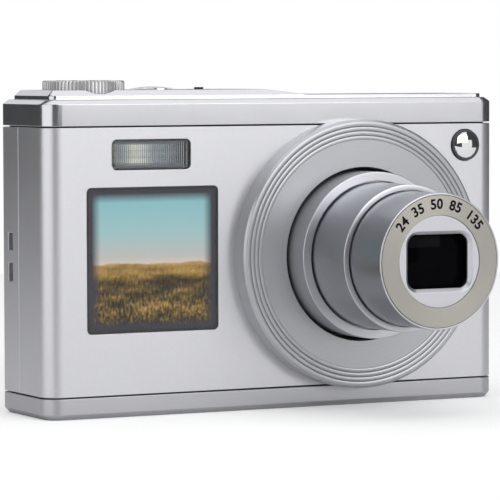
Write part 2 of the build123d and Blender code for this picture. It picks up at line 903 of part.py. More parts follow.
# ---- Rear screen and buttons ----
def rear_screen_glass():
    """Cover glass of the main screen."""
    front = rear_y - rear_glass_t + snug
    return plate_y(rear_screen_w, rear_screen_h, rear_screen_r, rear_screen_x, rear_screen_z, front, rear_y)


def rear_screen_module():
    """Main display panel, behind its glass."""
    back = rear_wall_y - snug
    w = rear_screen_w - 2 * rear_ledge
    h = rear_screen_h - 2 * rear_ledge
    return plate_y(w, h, least_corner_r, rear_screen_x, rear_screen_z, back - rear_module_t, back)


def rear_button(x, z):
    """Round rear button with a flange that the cover traps."""
    flange_back = rear_wall_y - running
    flange_front = flange_back - button_flange_t
    cap = rod_y(button_r, x, z, flange_front, rear_y + button_out)
    cap += rod_y(button_r + button_flange, x, z, flange_front, flange_back)
    return cap


def nav_mat():
    """Rubber mat under the four-way pad."""
    return rod_y(nav_mat_r, nav_x, nav_z, nav_mat_y, nav_mat_y + nav_mat_t)


def nav_ring():
    """Four-way pad."""
    ring = rod_y(nav_r, nav_x, nav_z, nav_flange_y, rear_y + nav_out)
    ring += rod_y(nav_r + nav_flange, nav_x, nav_z, nav_flange_y, nav_flange_y + nav_flange_t)
    return ring - rod_y(nav_in_r, nav_x, nav_z, nav_flange_y - through, rear_y + through)


def ok_button():
    """Round button in the middle of the four-way pad."""
    return rod_y(ok_r, nav_x, nav_z, ok_back_y, rear_y + button_out)


def main_board():
    """Main circuit board with the dome switches of the rear buttons."""
    left_x = -post_x - loose
    right_x = rear_screen_x - rear_screen_w / 2 + rear_ledge - loose
    board = block(left_x, right_x, main_board_y, main_board_back_y, rail_low_z + loose, rail_high_z - loose)
    for x, z in button_places():
        board += rod_y(switch_r, x, z, main_board_back_y, main_board_back_y + switch_t)
    board += rod_y(switch_r, nav_x, nav_z, main_board_back_y, main_board_back_y + nav_switch_t)
    for quarter in range(4):
        angle = math.radians(90 * quarter)
        x = nav_x + nav_switch_at * math.cos(angle)
        z = nav_z + nav_switch_at * math.sin(angle)
        board += rod_y(switch_r, x, z, main_board_back_y, main_board_back_y + nav_switch_t)
    return board


def usb_body(grow):
    """Outer block of the USB socket."""
    x_low = half_w - usb_depth - grow
    x_high = half_w - snug + grow
    half_t = usb_h / 2 + grow
    half_l = usb_w / 2 + grow
    return block(x_low, x_high, usb_y - half_t, usb_y + half_t, usb_z - half_l, usb_z + half_l)


def usb_socket():
    """USB socket shell with its tongue."""
    side = Plane(origin=(half_w - usb_depth, usb_y, usb_z), x_dir=(0, 1, 0), z_dir=(1, 0, 0))
    shell = extrude(side * SlotOverall(usb_w, usb_h, rotation=90), usb_depth - snug)
    floor_plane = side.offset(usb_shell)
    inner = SlotOverall(usb_w - 2 * usb_shell, usb_h - 2 * usb_shell, rotation=90)
    shell -= extrude(floor_plane * inner, usb_depth)
    tongue_l = usb_w - usb_h
    shell += extrude(side * Rectangle(usb_tongue_t, tongue_l), usb_depth - wall)
    return shell


# ---- Controls on the top ----
def mode_dial():
    """Mode dial with the shaft that turns its switch."""
    low_z = dial_floor_z + loose
    dial = rod_z(dial_r, dial_x, controls_y, low_z, dial_top_z)
    dial = chamfer(dial.edges().group_by(Axis.Z)[-1], dial_edge)
    shaft_low_z = low_z - dial_shaft_l
    return dial + rod_z(dial_shaft_r, dial_x, controls_y, shaft_low_z, low_z)


def dial_switch():
    """Rotary switch under the mode dial, with a bore for its shaft."""
    half = dial_switch_w / 2
    low_z = top_board_high_z
    high_z = low_z + dial_switch_h
    body = block(dial_x - half, dial_x + half, controls_y - half, controls_y + half, low_z, high_z)
    bore_low_z = dial_floor_z + loose - dial_shaft_l - loose
    return body - rod_z(dial_shaft_r + running, dial_x, controls_y, bore_low_z, high_z + through)


def zoom_lever():
    """Ring around the shutter button, under the same dome, with a finger tab at its front."""
    low_z = lever_floor_z + running
    lever = tube_z(lever_r, lever_in_r, lever_x, controls_y, low_z, dome_top_z) & dome_ball()
    tab = block(lever_x - lever_tab_w / 2, lever_x + lever_tab_w / 2,
                controls_y - lever_r, controls_y - lever_in_r, low_z, lever_tab_top_z)
    tab = tab & tube_z(lever_r, lever_in_r, lever_x, controls_y, low_z, lever_tab_top_z)
    return lever + tab


def shutter_button():
    """Shutter button with its part of the dome and a stem."""
    low_z = lever_floor_z + running + shutter_travel
    cap = rod_z(shutter_r, lever_x, controls_y, low_z, dome_top_z) & dome_ball()
    stem_low_z = cap_ceiling_z - loose
    return cap + rod_z(shutter_stem_r, lever_x, controls_y, stem_low_z, low_z)


def power_button():
    """Round power button with a raised pip and a flange that the top cover traps."""
    flange_high_z = cap_ceiling_z - running
    flange_low_z = flange_high_z - button_flange_t
    button = rod_z(power_r, power_x, controls_y, flange_low_z, plateau_z + power_out)
    button += rod_z(power_pip_r, power_x, controls_y, plateau_z, plateau_z + power_pip_out)
    return button + rod_z(power_r + button_flange, power_x, controls_y, flange_low_z, flange_high_z)


def top_board():
    """Board under the top controls, with the shutter and power switches."""
    left_x = dial_x - dial_switch_w / 2 - wall
    half = dial_switch_w / 2 + loose
    y_low = controls_y - half
    y_high = controls_y + half
    board = block(left_x, top_board_right_x, y_low, y_high, top_board_z, top_board_high_z)
    shutter_low_z = cap_ceiling_z - loose - shutter_travel - loose
    board += rod_z(switch_r, lever_x, controls_y, top_board_high_z, shutter_low_z)
    power_low_z = cap_ceiling_z - running - button_flange_t - power_travel - loose
    board += rod_z(switch_r, power_x, controls_y, top_board_high_z, power_low_z)
    return board


def microphone():
    """Microphone capsule under its hole in the deck."""
    high_z = cap_ceiling_z - snug
    return rod_z(mic_r, mic_x, controls_y, high_z - mic_h, high_z)


# ---- Power, memory and the underside ----
def battery():
    """Flat rechargeable battery."""
    x_high = battery_left_x + battery_w
    y_high = battery_front_y + battery_t
    return block(battery_left_x, x_high, battery_front_y, y_high, battery_low_z, battery_low_z + battery_h)


def battery_contacts():
    """Contact block at the top of the battery bay."""
    middle_x = battery_left_x + battery_w / 2
    low_z = battery_low_z + battery_h + snug
    y_high = battery_front_y + battery_t
    return block(middle_x - contact_w / 2, middle_x + contact_w / 2, battery_front_y, y_high,
                 low_z, low_z + contact_h)


def memory_card():
    """Memory card with its cut corner."""
    x_high = card_left_x + card_w
    card = block(card_left_x, x_high, card_front_y, card_front_y + card_t, card_low_z, card_low_z + card_h)
    corner = card.edges().filter_by(Axis.Y).group_by(Axis.Z)[-1].sort_by(Axis.X)[0]
    return chamfer(corner, 2 * card_t)


def card_socket():
    """Metal shell that holds the memory card."""
    grow = running + card_shell_t
    x_high = card_left_x + card_w
    y_high = card_front_y + card_t
    top_z = card_low_z + card_h + running
    shell = block(card_left_x - grow, x_high + grow, card_front_y - grow, y_high + grow,
                  card_shell_low_z, top_z + card_shell_over)
    return shell - block(card_left_x - running, x_high + running, card_front_y - running, y_high + running,
                         0, top_z)


def battery_door():
    """Door under battery and card, rounded about its hinge pin."""
    axis_z = door_t / 2
    door = block(door_left_x, door_right_x, door_axis_y, door_rear_y, 0, door_t)
    door += rod_x(axis_z, door_axis_y, axis_z, door_left_x, door_right_x)
    door -= rod_x(pin_r + pin_fit, door_axis_y, axis_z, door_left_x - through, door_right_x + through)
    middle_x = (door_left_x + door_right_x) / 2
    half_w_pocket = (latch_w + latch_travel) / 2 + running
    half_d_pocket = latch_d / 2 + running
    door -= block(middle_x - half_w_pocket, middle_x + half_w_pocket,
                  latch_y - half_d_pocket, latch_y + half_d_pocket, -through, latch_t + 2 * running)
    slot_half = (latch_stem + latch_travel) / 2 + running
    stem_half = latch_stem / 2 + running
    door -= block(middle_x - slot_half, middle_x + slot_half,
                  latch_y - stem_half, latch_y + stem_half, -through, door_t + through)
    return door


def battery_latch():
    """Sliding catch in the battery door, in its locked place."""
    middle_x = (door_left_x + door_right_x) / 2 - latch_travel / 2
    high_z = running + latch_t
    half = latch_w / 2
    deep = latch_d / 2
    x_low = middle_x - half
    x_high = middle_x + half
    latch = block(x_low, x_high, latch_y - deep, latch_y + deep, running, high_z)
    for step in range(latch_ridges):
        x = middle_x + (step - (latch_ridges - 1) / 2) * 2 * latch_ridge_w
        latch -= block(x - latch_ridge_w / 2, x + latch_ridge_w / 2,
                       latch_y - deep, latch_y + deep, 0, running + latch_ridge_w / 2)
    stem = latch_stem / 2
    back_low_z = door_t + running
    back_high_z = back_low_z + latch_back_t
    latch += block(middle_x - stem, middle_x + stem, latch_y - stem, latch_y + stem, high_z, back_high_z)
    latch += block(x_low, x_high, latch_y - deep, latch_y + deep, back_low_z, back_high_z)
    return latch


def door_pin():
    """Steel pin through the door's front edge."""
    reach = pin_end - snug
    return rod_x(pin_r, door_axis_y, door_t / 2, door_left_x - reach, door_right_x + reach)


def tripod_nut():
    """Threaded socket for a tripod screw."""
    flange_low_z = floor_t + snug
    nut = rod_z(tripod_nut_r, 0, 0, 0, tripod_nut_h)
    nut += rod_z(tripod_flange_r, 0, 0, flange_low_z, flange_low_z + tripod_flange_t)
    return nut - rod_z(tripod_bore_r, 0, 0, -through, tripod_nut_h + through)


def speaker():
    """Speaker over its slots in the bottom."""
    low_z = floor_t + snug
    return rod_z(speaker_r, speaker_x, 0, low_z, low_z + speaker_h)


# ---- Every piece under its name ----
pieces = {
    "front_cover": front_cover(),
    "rear_cover": rear_cover(),
    "top_cover": top_cover(),
    "bottom_cover": bottom_cover(),
    "chassis": chassis(),
    "case_screws": case_screws(),
    "lens_bezel": lens_bezel(),
    "lens_housing": lens_housing(),
    "barrel_stage_1": barrel_stage_1(),
    "barrel_stage_2": barrel_stage_2(),
    "barrel_stage_3": barrel_stage_3(),
    "name_ring": name_ring(),
    "lens_mask": lens_mask(),
    "barrier_blade_upper": barrier_blade(1),
    "barrier_blade_lower": barrier_blade(-1),
    "front_group_holder": front_group_holder(),
    "front_glass": front_glass(),
    "zoom_group_holder": zoom_group_holder(),
    "zoom_glass": zoom_glass(),
    "focus_holder": focus_holder(),
    "focus_glass": focus_glass(),
    "image_sensor": image_sensor(),
    "sensor_board": sensor_board(),
    "zoom_drive": zoom_drive(),
    "focus_motor": focus_motor(),
    "front_screen_glass": front_screen_glass(),
    "front_screen_module": front_screen_module(),
    "flash_window": flash_window(),
    "flash_reflector": flash_reflector(),
    "flash_tube": flash_tube(),
    "flash_capacitor": flash_capacitor(),
    "lamp_rim": lamp_rim(),
    "lamp_lens": lamp_lens(),
    "rear_screen_glass": rear_screen_glass(),
    "rear_screen_module": rear_screen_module(),
    "nav_mat": nav_mat(),
    "nav_ring": nav_ring(),
    "ok_button": ok_button(),
    "main_board": main_board(),
    "usb_socket": usb_socket(),
    "mode_dial": mode_dial(),
    "dial_switch": dial_switch(),
    "zoom_lever": zoom_lever(),
    "shutter_button": shutter_button(),
    "power_button": power_button(),
    "top_board": top_board(),
    "microphone": microphone(),
    "battery": battery(),
    "battery_contacts": battery_contacts(),
    "memory_card": memory_card(),
    "card_socket": card_socket(),
    "battery_door": battery_door(),
    "battery_latch": battery_latch(),
    "door_pin": door_pin(),
    "tripod_nut": tripod_nut(),
    "speaker": speaker(),
}
for name, (x, z) in zip(button_names, button_places()):
    pieces[name] = rear_button(x, z)
print(len(pieces), "pieces")

os.makedirs("parts", exist_ok=True)
for node, shape in pieces.items():
    export_step(shape, "parts/" + node + ".step")
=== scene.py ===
import json
import math
import bmesh
import bpy
from mathutils import Matrix, Vector


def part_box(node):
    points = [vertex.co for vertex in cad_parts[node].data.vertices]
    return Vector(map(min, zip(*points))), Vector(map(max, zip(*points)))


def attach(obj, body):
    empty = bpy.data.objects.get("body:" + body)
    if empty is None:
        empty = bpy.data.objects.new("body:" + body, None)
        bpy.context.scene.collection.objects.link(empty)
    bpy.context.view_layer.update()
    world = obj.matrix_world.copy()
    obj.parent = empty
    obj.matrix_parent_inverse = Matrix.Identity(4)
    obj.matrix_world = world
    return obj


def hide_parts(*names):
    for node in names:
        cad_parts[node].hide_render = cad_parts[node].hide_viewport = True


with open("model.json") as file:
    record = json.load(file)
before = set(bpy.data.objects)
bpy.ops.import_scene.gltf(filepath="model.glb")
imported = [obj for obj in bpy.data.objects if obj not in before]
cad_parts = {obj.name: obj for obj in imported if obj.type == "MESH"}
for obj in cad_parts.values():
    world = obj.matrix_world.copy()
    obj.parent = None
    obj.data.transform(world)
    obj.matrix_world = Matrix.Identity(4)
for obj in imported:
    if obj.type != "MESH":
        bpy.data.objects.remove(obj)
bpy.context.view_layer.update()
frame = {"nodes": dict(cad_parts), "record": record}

MM = 0.001
TAU = 2 * math.pi
PRINT = 0.012 * MM          # how far a printed mark stands out


# ---------------------------------------------------------------- places taken from the frame
def centre(node):
    """Middle of a CAD node's box."""
    low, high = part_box(node)
    return (low + high) / 2


def span(node, axis):
    """Lowest and highest coordinate of a CAD node along an axis."""
    low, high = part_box(node)
    return low[axis], high[axis]


LENS = centre("lens_bezel")
BEZEL_R = (span("lens_bezel", 0)[1] - span("lens_bezel", 0)[0]) / 2
BODY_FRONT = span("front_cover", 1)[0]
DIAL = centre("mode_dial")


# ---------------------------------------------------------------- materials
def new_material(name):
    """Empty material with a Principled shader, its node tree and the shader node."""
    material = bpy.data.materials.new(name)
    material.use_nodes = True
    tree = material.node_tree
    return material, tree, tree.nodes["Principled BSDF"]


def add(tree, kind, **values):
    """New node with attribute values and input values set."""
    node = tree.nodes.new(kind)
    for key, value in values.items():
        if hasattr(node, key):
            setattr(node, key, value)
        else:
            node.inputs[key].default_value = value
    return node


def noise(tree, scale, detail=2.0, stretch=(1, 1, 1)):
    """Noise in object space; scale is in features per metre."""
    place = tree.nodes.new("ShaderNodeTexCoord")
    mapping = tree.nodes.new("ShaderNodeMapping")
    mapping.inputs["Scale"].default_value = stretch
    texture = tree.nodes.new("ShaderNodeTexNoise")
    texture.inputs["Scale"].default_value = scale
    texture.inputs["Detail"].default_value = detail
    tree.links.new(place.outputs["Object"], mapping.inputs["Vector"])
    tree.links.new(mapping.outputs["Vector"], texture.inputs["Vector"])
    return texture.outputs["Fac"]


def ramp(tree, factor, stops):
    """Colour ramp with the given (position, colour) stops."""
    node = tree.nodes.new("ShaderNodeValToRGB")
    elements = node.color_ramp.elements
    elements[0].position, elements[0].color = stops[0][0], (*stops[0][1], 1)
    elements[1].position, elements[1].color = stops[-1][0], (*stops[-1][1], 1)
    for position, colour in stops[1:-1]:
        element = elements.new(position)
        element.color = (*colour, 1)
    tree.links.new(factor, node.inputs["Fac"])
    return node.outputs["Color"]


def grey_range(tree, factor, low, high):
    """Noise value moved into a range."""
    node = tree.nodes.new("ShaderNodeMapRange")
    node.inputs["To Min"].default_value = low
    node.inputs["To Max"].default_value = high
    tree.links.new(factor, node.inputs["Value"])
    return node.outputs["Result"]


def bump(tree, height, shader, distance):
    """Bump map into a shader's normal."""
    node = tree.nodes.new("ShaderNodeBump")
    node.inputs["Strength"].default_value = 1.0
    node.inputs["Distance"].default_value = distance
    tree.links.new(height, node.inputs["Height"])
    tree.links.new(node.outputs["Normal"], shader.inputs["Normal"])


def shade(colour, factor):
    """Colour made lighter or darker."""
    return tuple(min(1.0, channel * factor) for channel in colour)


METAL_GRAIN = 9000
METAL_WEAR = 0.04


def grained_metal(name, colour, metallic, roughness, depth=0.004, spread=0.05):
    """Blasted or painted metal with a fine grain, slow roughness changes and slight mottling."""
    material, tree, shader = new_material(name)
    fine = noise(tree, METAL_GRAIN, 1.0)
    slow = noise(tree, 120, 3.0)
    stops = [(0.3, shade(colour, 1 - spread)), (0.7, shade(colour, 1 + spread))]
    tree.links.new(ramp(tree, fine, stops), shader.inputs["Base Color"])
    worn = grey_range(tree, slow, roughness - METAL_WEAR, roughness + METAL_WEAR)
    tree.links.new(worn, shader.inputs["Roughness"])
    shader.inputs["Metallic"].default_value = metallic
    bump(tree, fine, shader, depth * MM)
    return material


def turned_metal(name, colour, roughness, axis_point, pitch=0.12, depth=0.003, aniso=0.6, spread=0.03,
                 metallic=1.0):
    """Metal turned about an axis along Y, with concentric tool marks."""
    material, tree, shader = new_material(name)
    place = tree.nodes.new("ShaderNodeTexCoord")
    shift = add(tree, "ShaderNodeVectorMath", operation="SUBTRACT")
    shift.inputs[1].default_value = axis_point
    flat = add(tree, "ShaderNodeVectorMath", operation="MULTIPLY")
    flat.inputs[1].default_value = (1, 0, 1)
    length = add(tree, "ShaderNodeVectorMath", operation="LENGTH")
    line = tree.nodes.new("ShaderNodeTexNoise")
    line.noise_dimensions = "1D"
    line.inputs["Scale"].default_value = 1 / (pitch * MM)
    line.inputs["Detail"].default_value = 3.0
    tree.links.new(place.outputs["Object"], shift.inputs[0])
    tree.links.new(shift.outputs[0], flat.inputs[0])
    tree.links.new(flat.outputs[0], length.inputs[0])
    tree.links.new(length.outputs["Value"], line.inputs["W"])
    stops = [(0.25, shade(colour, 1 - spread)), (0.75, shade(colour, 1 + spread))]
    tree.links.new(ramp(tree, line.outputs["Fac"], stops), shader.inputs["Base Color"])
    shader.inputs["Metallic"].default_value = metallic
    shader.inputs["Roughness"].default_value = roughness
    shader.inputs["Anisotropic"].default_value = aniso
    shader.inputs["Anisotropic Rotation"].default_value = 0.25
    tangent = add(tree, "ShaderNodeTangent", direction_type="RADIAL", axis="Y")
    tree.links.new(tangent.outputs["Tangent"], shader.inputs["Tangent"])
    bump(tree, line.outputs["Fac"], shader, depth * MM)
    return material


PLASTIC_GRAIN = 3500
PLASTIC_WEAR = 0.06


def moulded(name, colour, roughness, depth=0.008):
    """Moulded plastic with a fine spark texture."""
    material, tree, shader = new_material(name)
    fine = noise(tree, PLASTIC_GRAIN, 2.0)
    stops = [(0.3, shade(colour, 0.9)), (0.7, shade(colour, 1.1))]
    tree.links.new(ramp(tree, fine, stops), shader.inputs["Base Color"])
    worn = grey_range(tree, noise(tree, 200), roughness - PLASTIC_WEAR, roughness + PLASTIC_WEAR)
    tree.links.new(worn, shader.inputs["Roughness"])
    bump(tree, fine, shader, depth * MM)
    return material


def polished(name, colour, roughness):
    """Polished metal with faint smears."""
    material, tree, shader = new_material(name)
    smear = noise(tree, 300, 4.0)
    stops = [(0.2, shade(colour, 0.97)), (0.8, colour)]
    tree.links.new(grey_range(tree, smear, roughness * 0.7, roughness * 1.4), shader.inputs["Roughness"])
    tree.links.new(ramp(tree, smear, stops), shader.inputs["Base Color"])
    shader.inputs["Metallic"].default_value = 1.0
    return material


def clear_glass(name, tint, roughness, ior):
    """Clear glass or plastic with a faint haze."""
    material, tree, shader = new_material(name)
    haze = grey_range(tree, noise(tree, 400), roughness * 0.5, roughness * 1.5)
    tree.links.new(haze, shader.inputs["Roughness"])
    shader.inputs["Base Color"].default_value = (*tint, 1)
    shader.inputs["Transmission Weight"].default_value = 1.0
    shader.inputs["IOR"].default_value = ior
    return material


DARK_GLASS_ROUGHNESS = 0.05


def dark_glass(name, colour):
    """Dark opaque glass that shows only reflections; on the lens it is painted shade for the lens's dark
    inside.
    """
    material, tree, shader = new_material(name)
    slow = noise(tree, 150, 2.0)
    stops = [(0.3, shade(colour, 0.8)), (0.7, shade(colour, 1.2))]
    tree.links.new(ramp(tree, slow, stops), shader.inputs["Base Color"])
    haze = grey_range(tree, slow, DARK_GLASS_ROUGHNESS * 0.6, DARK_GLASS_ROUGHNESS * 1.3)
    tree.links.new(haze, shader.inputs["Roughness"])
    shader.inputs["IOR"].default_value = 1.5
    return material


def along(tree, axis, low, high):
    """How far a point is between two frame coordinates along an axis, 0 to 1."""
    place = tree.nodes.new("ShaderNodeTexCoord")
    split = tree.nodes.new("ShaderNodeSeparateXYZ")
    tree.links.new(place.outputs["Object"], split.inputs[0])
    spread = tree.nodes.new("ShaderNodeMapRange")
    spread.inputs["From Min"].default_value = low
    spread.inputs["From Max"].default_value = high
    tree.links.new(split.outputs[axis], spread.inputs["Value"])
    return spread.outputs["Result"]


def maths(tree, operation, first, second, clamp=False):
    """Math node; each input is a socket or a number."""
    node = tree.nodes.new("ShaderNodeMath")
    node.operation = operation
    node.use_clamp = clamp
    for index, value in enumerate((first, second)):
        if isinstance(value, (int, float)):
            node.inputs[index].default_value = value
        else:
            tree.links.new(value, node.inputs[index])
    return node.outputs[0]


def blend(tree, factor, first, second):
    """Mix of two colours by a factor socket; each colour is a socket or a tuple."""
    node = tree.nodes.new("ShaderNodeMix")
    node.data_type = "RGBA"
    tree.links.new(factor, node.inputs["Factor"])
    for name, value in (("A", first), ("B", second)):
        socket = next(each for each in node.inputs if each.name == name and each.type == "RGBA")
        if isinstance(value, bpy.types.NodeSocket):
            tree.links.new(value, socket)
        else:
            socket.default_value = (*value, 1)
    return next(socket for socket in node.outputs if socket.type == "RGBA")


def edge_falloff(tree, node, width):
    """1 inside a CAD node's front, falling smoothly to 0 at its edges."""
    low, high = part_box(node)
    result = None
    for axis, name in ((0, "X"), (2, "Z")):
        for near, far in ((low[axis], low[axis] + width), (high[axis], high[axis] - width)):
            part = along(tree, name, near, far)
            part = maths(tree, "MINIMUM", part, 1.0)
            result = part if result is None else maths(tree, "MULTIPLY", result, part)
    return result


SKY = [(0.0, (0.54, 0.45, 0.36)), (0.10, (0.42, 0.41, 0.385)), (0.45, (0.28, 0.43, 0.44)),
       (1.0, (0.19, 0.41, 0.44))]
FIELD = [(0.0, (0.010, 0.008, 0.005)), (0.25, (0.035, 0.024, 0.008)), (0.5, (0.12, 0.075, 0.018)),
         (0.75, (0.30, 0.18, 0.045)), (1.0, (0.44, 0.27, 0.09))]
FIELD_LIGHT = [(0.0, (0.16, 0.16, 0.16)), (0.3, (0.52, 0.52, 0.52)), (0.52, (0.40, 0.40, 0.40)),
               (0.72, (0.30, 0.30, 0.30)), (0.86, (0.66, 0.66, 0.66)), (1.0, (0.80, 0.80, 0.80))]
HORIZON = 0.47
HORIZON_SWAY = 1.6 * MM
HORIZON_BLUR = 0.4 * MM
CLUMP_CONTRAST = 1.1
BLADE_CONTRAST_FAR = 0.25
BLADE_CONTRAST_NEAR = 1.9
PICTURE_GLOW = 0.62
PICTURE_EDGE = (0.034, 0.032, 0.042)
PICTURE_EDGE_W = 1.9 * MM


def ripple(tree, scale, detail, stretch, amount):
    """Noise about zero; the amount is a socket or a number."""
    about_zero = maths(tree, "SUBTRACT", noise(tree, scale, detail, stretch), 0.5)
    return maths(tree, "MULTIPLY", about_zero, amount)


def field_colours(tree, height):
    """Grass in clumps, whose blades show more towards the bottom; height is 0 to 1."""
    near = maths(tree, "SUBTRACT", 1.0, height)
    contrast = maths(tree, "ADD", maths(tree, "MULTIPLY", near, BLADE_CONTRAST_NEAR), BLADE_CONTRAST_FAR)
    clumps = ripple(tree, 300, 3.0, (0.6, 1, 1.9), CLUMP_CONTRAST)
    blades = ripple(tree, 1500, 4.0, (1.3, 1, 0.6), contrast)
    light = ramp(tree, height, FIELD_LIGHT)
    return ramp(tree, maths(tree, "ADD", light, maths(tree, "ADD", clumps, blades), True), FIELD)


def screen_picture(name, node):
    """Display that shows a plain field under an evening sky."""
    material, tree, shader = new_material(name)
    low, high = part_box(node)
    horizon_z = low[2] + (high[2] - low[2]) * HORIZON
    sky = ramp(tree, along(tree, "Z", horizon_z, high[2]), SKY)
    field = field_colours(tree, along(tree, "Z", low[2], horizon_z))
    sway = ripple(tree, 160, 2.0, (1, 1, 0), HORIZON_SWAY)
    split = tree.nodes.new("ShaderNodeSeparateXYZ")
    place = tree.nodes.new("ShaderNodeTexCoord")
    tree.links.new(place.outputs["Object"], split.inputs[0])
    above = maths(tree, "SUBTRACT", maths(tree, "ADD", split.outputs["Z"], sway), horizon_z)
    above = maths(tree, "ADD", maths(tree, "DIVIDE", above, HORIZON_BLUR), 0.5, True)
    colours = blend(tree, above, field, sky)
    colours = blend(tree, edge_falloff(tree, node, PICTURE_EDGE_W), PICTURE_EDGE, colours)
    tree.links.new(colours, shader.inputs["Base Color"])
    tree.links.new(colours, shader.inputs["Emission Color"])
    shader.inputs["Emission Strength"].default_value = PICTURE_GLOW
    shader.inputs["Roughness"].default_value = 0.4
    shader.inputs["Specular IOR Level"].default_value = 0.1
    return material


# Painted light on the flash film: its glow, warm middle and dark ends stand for the lit tube and its
# reflection.
FLASH_PAINTED_GLOW = 0.75
FLASH_PAINTED_LIGHT_STOPS = [(0.0, (0.03, 0.035, 0.045)), (0.10, (0.05, 0.06, 0.075)), (0.27, (0.12, 0.13, 0.13)),
               (0.36, (0.66, 0.62, 0.44)), (0.50, (0.62, 0.60, 0.48)), (0.58, (0.22, 0.23, 0.22)),
               (0.72, (0.13, 0.155, 0.165)), (0.84, (0.08, 0.095, 0.11)), (0.90, (0.012, 0.013, 0.018)),
               (1.0, (0.01, 0.011, 0.015))]


def painted_light_film(name, node):
    """Reflector film with painted light: it glows, is painted warm where the tube's arc sits and painted
    dark at its ends.
    """
    material, tree, shader = new_material(name)
    low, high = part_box(node)
    streaks = ripple(tree, 2600, 1.0, (1, 0, 0.02), 0.16)
    film = ramp(tree, maths(tree, "ADD", along(tree, "X", low[0], high[0]), streaks), FLASH_PAINTED_LIGHT_STOPS)
    tree.links.new(film, shader.inputs["Base Color"])
    tree.links.new(film, shader.inputs["Emission Color"])
    shader.inputs["Emission Strength"].default_value = FLASH_PAINTED_GLOW
    shader.inputs["Metallic"].default_value = 0.3
    shader.inputs["Roughness"].default_value = 0.3
    return material


def board_green(name):
    """Solder mask with traces."""
    material, tree, shader = new_material(name)
    traces = noise(tree, 900, 0.0, (1, 1, 3))
    stops = [(0.48, (0.01, 0.10, 0.05)), (0.52, (0.03, 0.20, 0.10))]
    tree.links.new(ramp(tree, traces, stops), shader.inputs["Base Color"])
    shader.inputs["Roughness"].default_value = 0.35
    return material


def without_glare(material, level):
    """Material with its highlight turned down."""
    material.node_tree.nodes["Principled BSDF"].inputs["Specular IOR Level"].default_value = level
    return material


SILVER = (0.66, 0.66, 0.69)
BARREL = (0.42, 0.435, 0.465)
silver_paint = grained_metal("silver_paint", SILVER, 0.92, 0.38)
cap_paint = grained_metal("cap_paint", shade(SILVER, 0.92), 0.97, 0.22, spread=0.03, depth=0.002)
# Darker copy of the silver for the cap's upward faces: painted shade where the overhead light falls
# strongest.
deck_painted_shade = grained_metal("deck_painted_shade", shade(SILVER, 0.55), 0.9, 0.45, spread=0.03, depth=0.002)
# Darker copy of the silver for the bottom cover and battery door: painted shade against the bright floor
# that they reflect.
base_paint_shaded = grained_metal("base_paint_shaded", shade(SILVER, 0.78), 0.95, 0.32, spread=0.03, depth=0.002)
# Lit and shaded copies of one barrel metal: stage 1 is less metallic and rougher so it reads lighter
# against the shade deep in the bezel hole (painted light); stage 3 is darker (painted shade).
stage_metals_lit_and_shaded = {
    "barrel_stage_1": grained_metal("stage_1_metal_painted_light", shade(BARREL, 0.9), 0.6, 0.5, spread=0.08),
    "barrel_stage_2": grained_metal("stage_2_metal", BARREL, 0.97, 0.34, spread=0.08),
    "barrel_stage_3": grained_metal("stage_3_metal_painted_shade", shade(BARREL, 0.85), 0.97, 0.31, spread=0.08),
}
rim_metal = turned_metal("rim_metal", (0.58, 0.585, 0.615), 0.32, LENS, aniso=0.3)
bezel_metal = turned_metal("bezel_metal", (0.48, 0.485, 0.51), 0.3, LENS, pitch=0.2, depth=0.005,
                           aniso=0.25, spread=0.1, metallic=0.6)
champagne = turned_metal("champagne", (0.42, 0.405, 0.37), 0.27, LENS, pitch=0.15, aniso=0.4)
mask_silver = grained_metal("mask_silver", (0.60, 0.60, 0.635), 0.85, 0.35)
control_silver = grained_metal("control_silver", (0.66, 0.66, 0.68), 0.95, 0.28, spread=0.03)
inner_black = moulded("inner_black", (0.012, 0.012, 0.013), 0.55)
chassis_black = moulded("chassis_black", (0.02, 0.02, 0.022), 0.6)
dial_silver = grained_metal("dial_silver", (0.58, 0.58, 0.59), 0.85, 0.4, spread=0.03)
control_dark = moulded("control_dark", (0.03, 0.03, 0.032), 0.3, depth=0.003)
rubber = moulded("rubber", (0.03, 0.03, 0.03), 0.8)
chrome = polished("chrome", (0.9, 0.9, 0.92), 0.06)
mirror = polished("mirror", (0.86, 0.85, 0.80), 0.12)
steel = polished("steel", (0.55, 0.55, 0.56), 0.25)
dark_chrome = polished("dark_chrome", (0.09, 0.09, 0.10), 0.12)
# Painted shade: the lens glass is near black and opaque with its glare turned down, standing for the dark
# inside of the lens.
lens_painted_shade = without_glare(dark_glass("lens_painted_shade", (0.002, 0.002, 0.003)), 0.02)
picture = screen_picture("picture", "front_screen_module")
flash_wall = grained_metal("flash_wall", (0.07, 0.075, 0.085), 0.8, 0.35)
# Flash film with painted light: it glows, is warm in the middle and dark at its ends.
flash_film_painted_light = painted_light_film("flash_film_painted_light", "flash_window")
screen_cover = clear_glass("screen_cover", (0.96, 0.97, 0.98), 0.02, 1.3)
screen_black = dark_glass("screen_black", (0.008, 0.008, 0.010))
flash_clear = clear_glass("flash_clear", (0.92, 0.94, 0.96), 0.04, 1.35)
board = board_green("board")
battery_wrap = moulded("battery_wrap", (0.05, 0.055, 0.07), 0.5)
card_blue = moulded("card_blue", (0.02, 0.035, 0.10), 0.45)
marking = without_glare(moulded("marking", (0.006, 0.006, 0.006), 0.6), 0.05)


# ---------------------------------------------------------------- mesh tools
FACE_WEIGHT = 80            # how strongly large faces keep their own normals
WELD = 1e-7                 # points nearer than this in metres are one


def piece(name, mesh, body, material, replaces=()):
    """New visible piece on a body."""
    shown = bpy.data.objects.new(name, mesh)
    bpy.context.scene.collection.objects.link(shown)
    mesh.materials.clear()
    mesh.materials.append(material)
    flatten = shown.modifiers.new("flat_faces", "WEIGHTED_NORMAL")
    flatten.keep_sharp = True
    flatten.weight = FACE_WEIGHT
    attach(shown, body)
    if replaces:
        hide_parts(*replaces)
    return shown


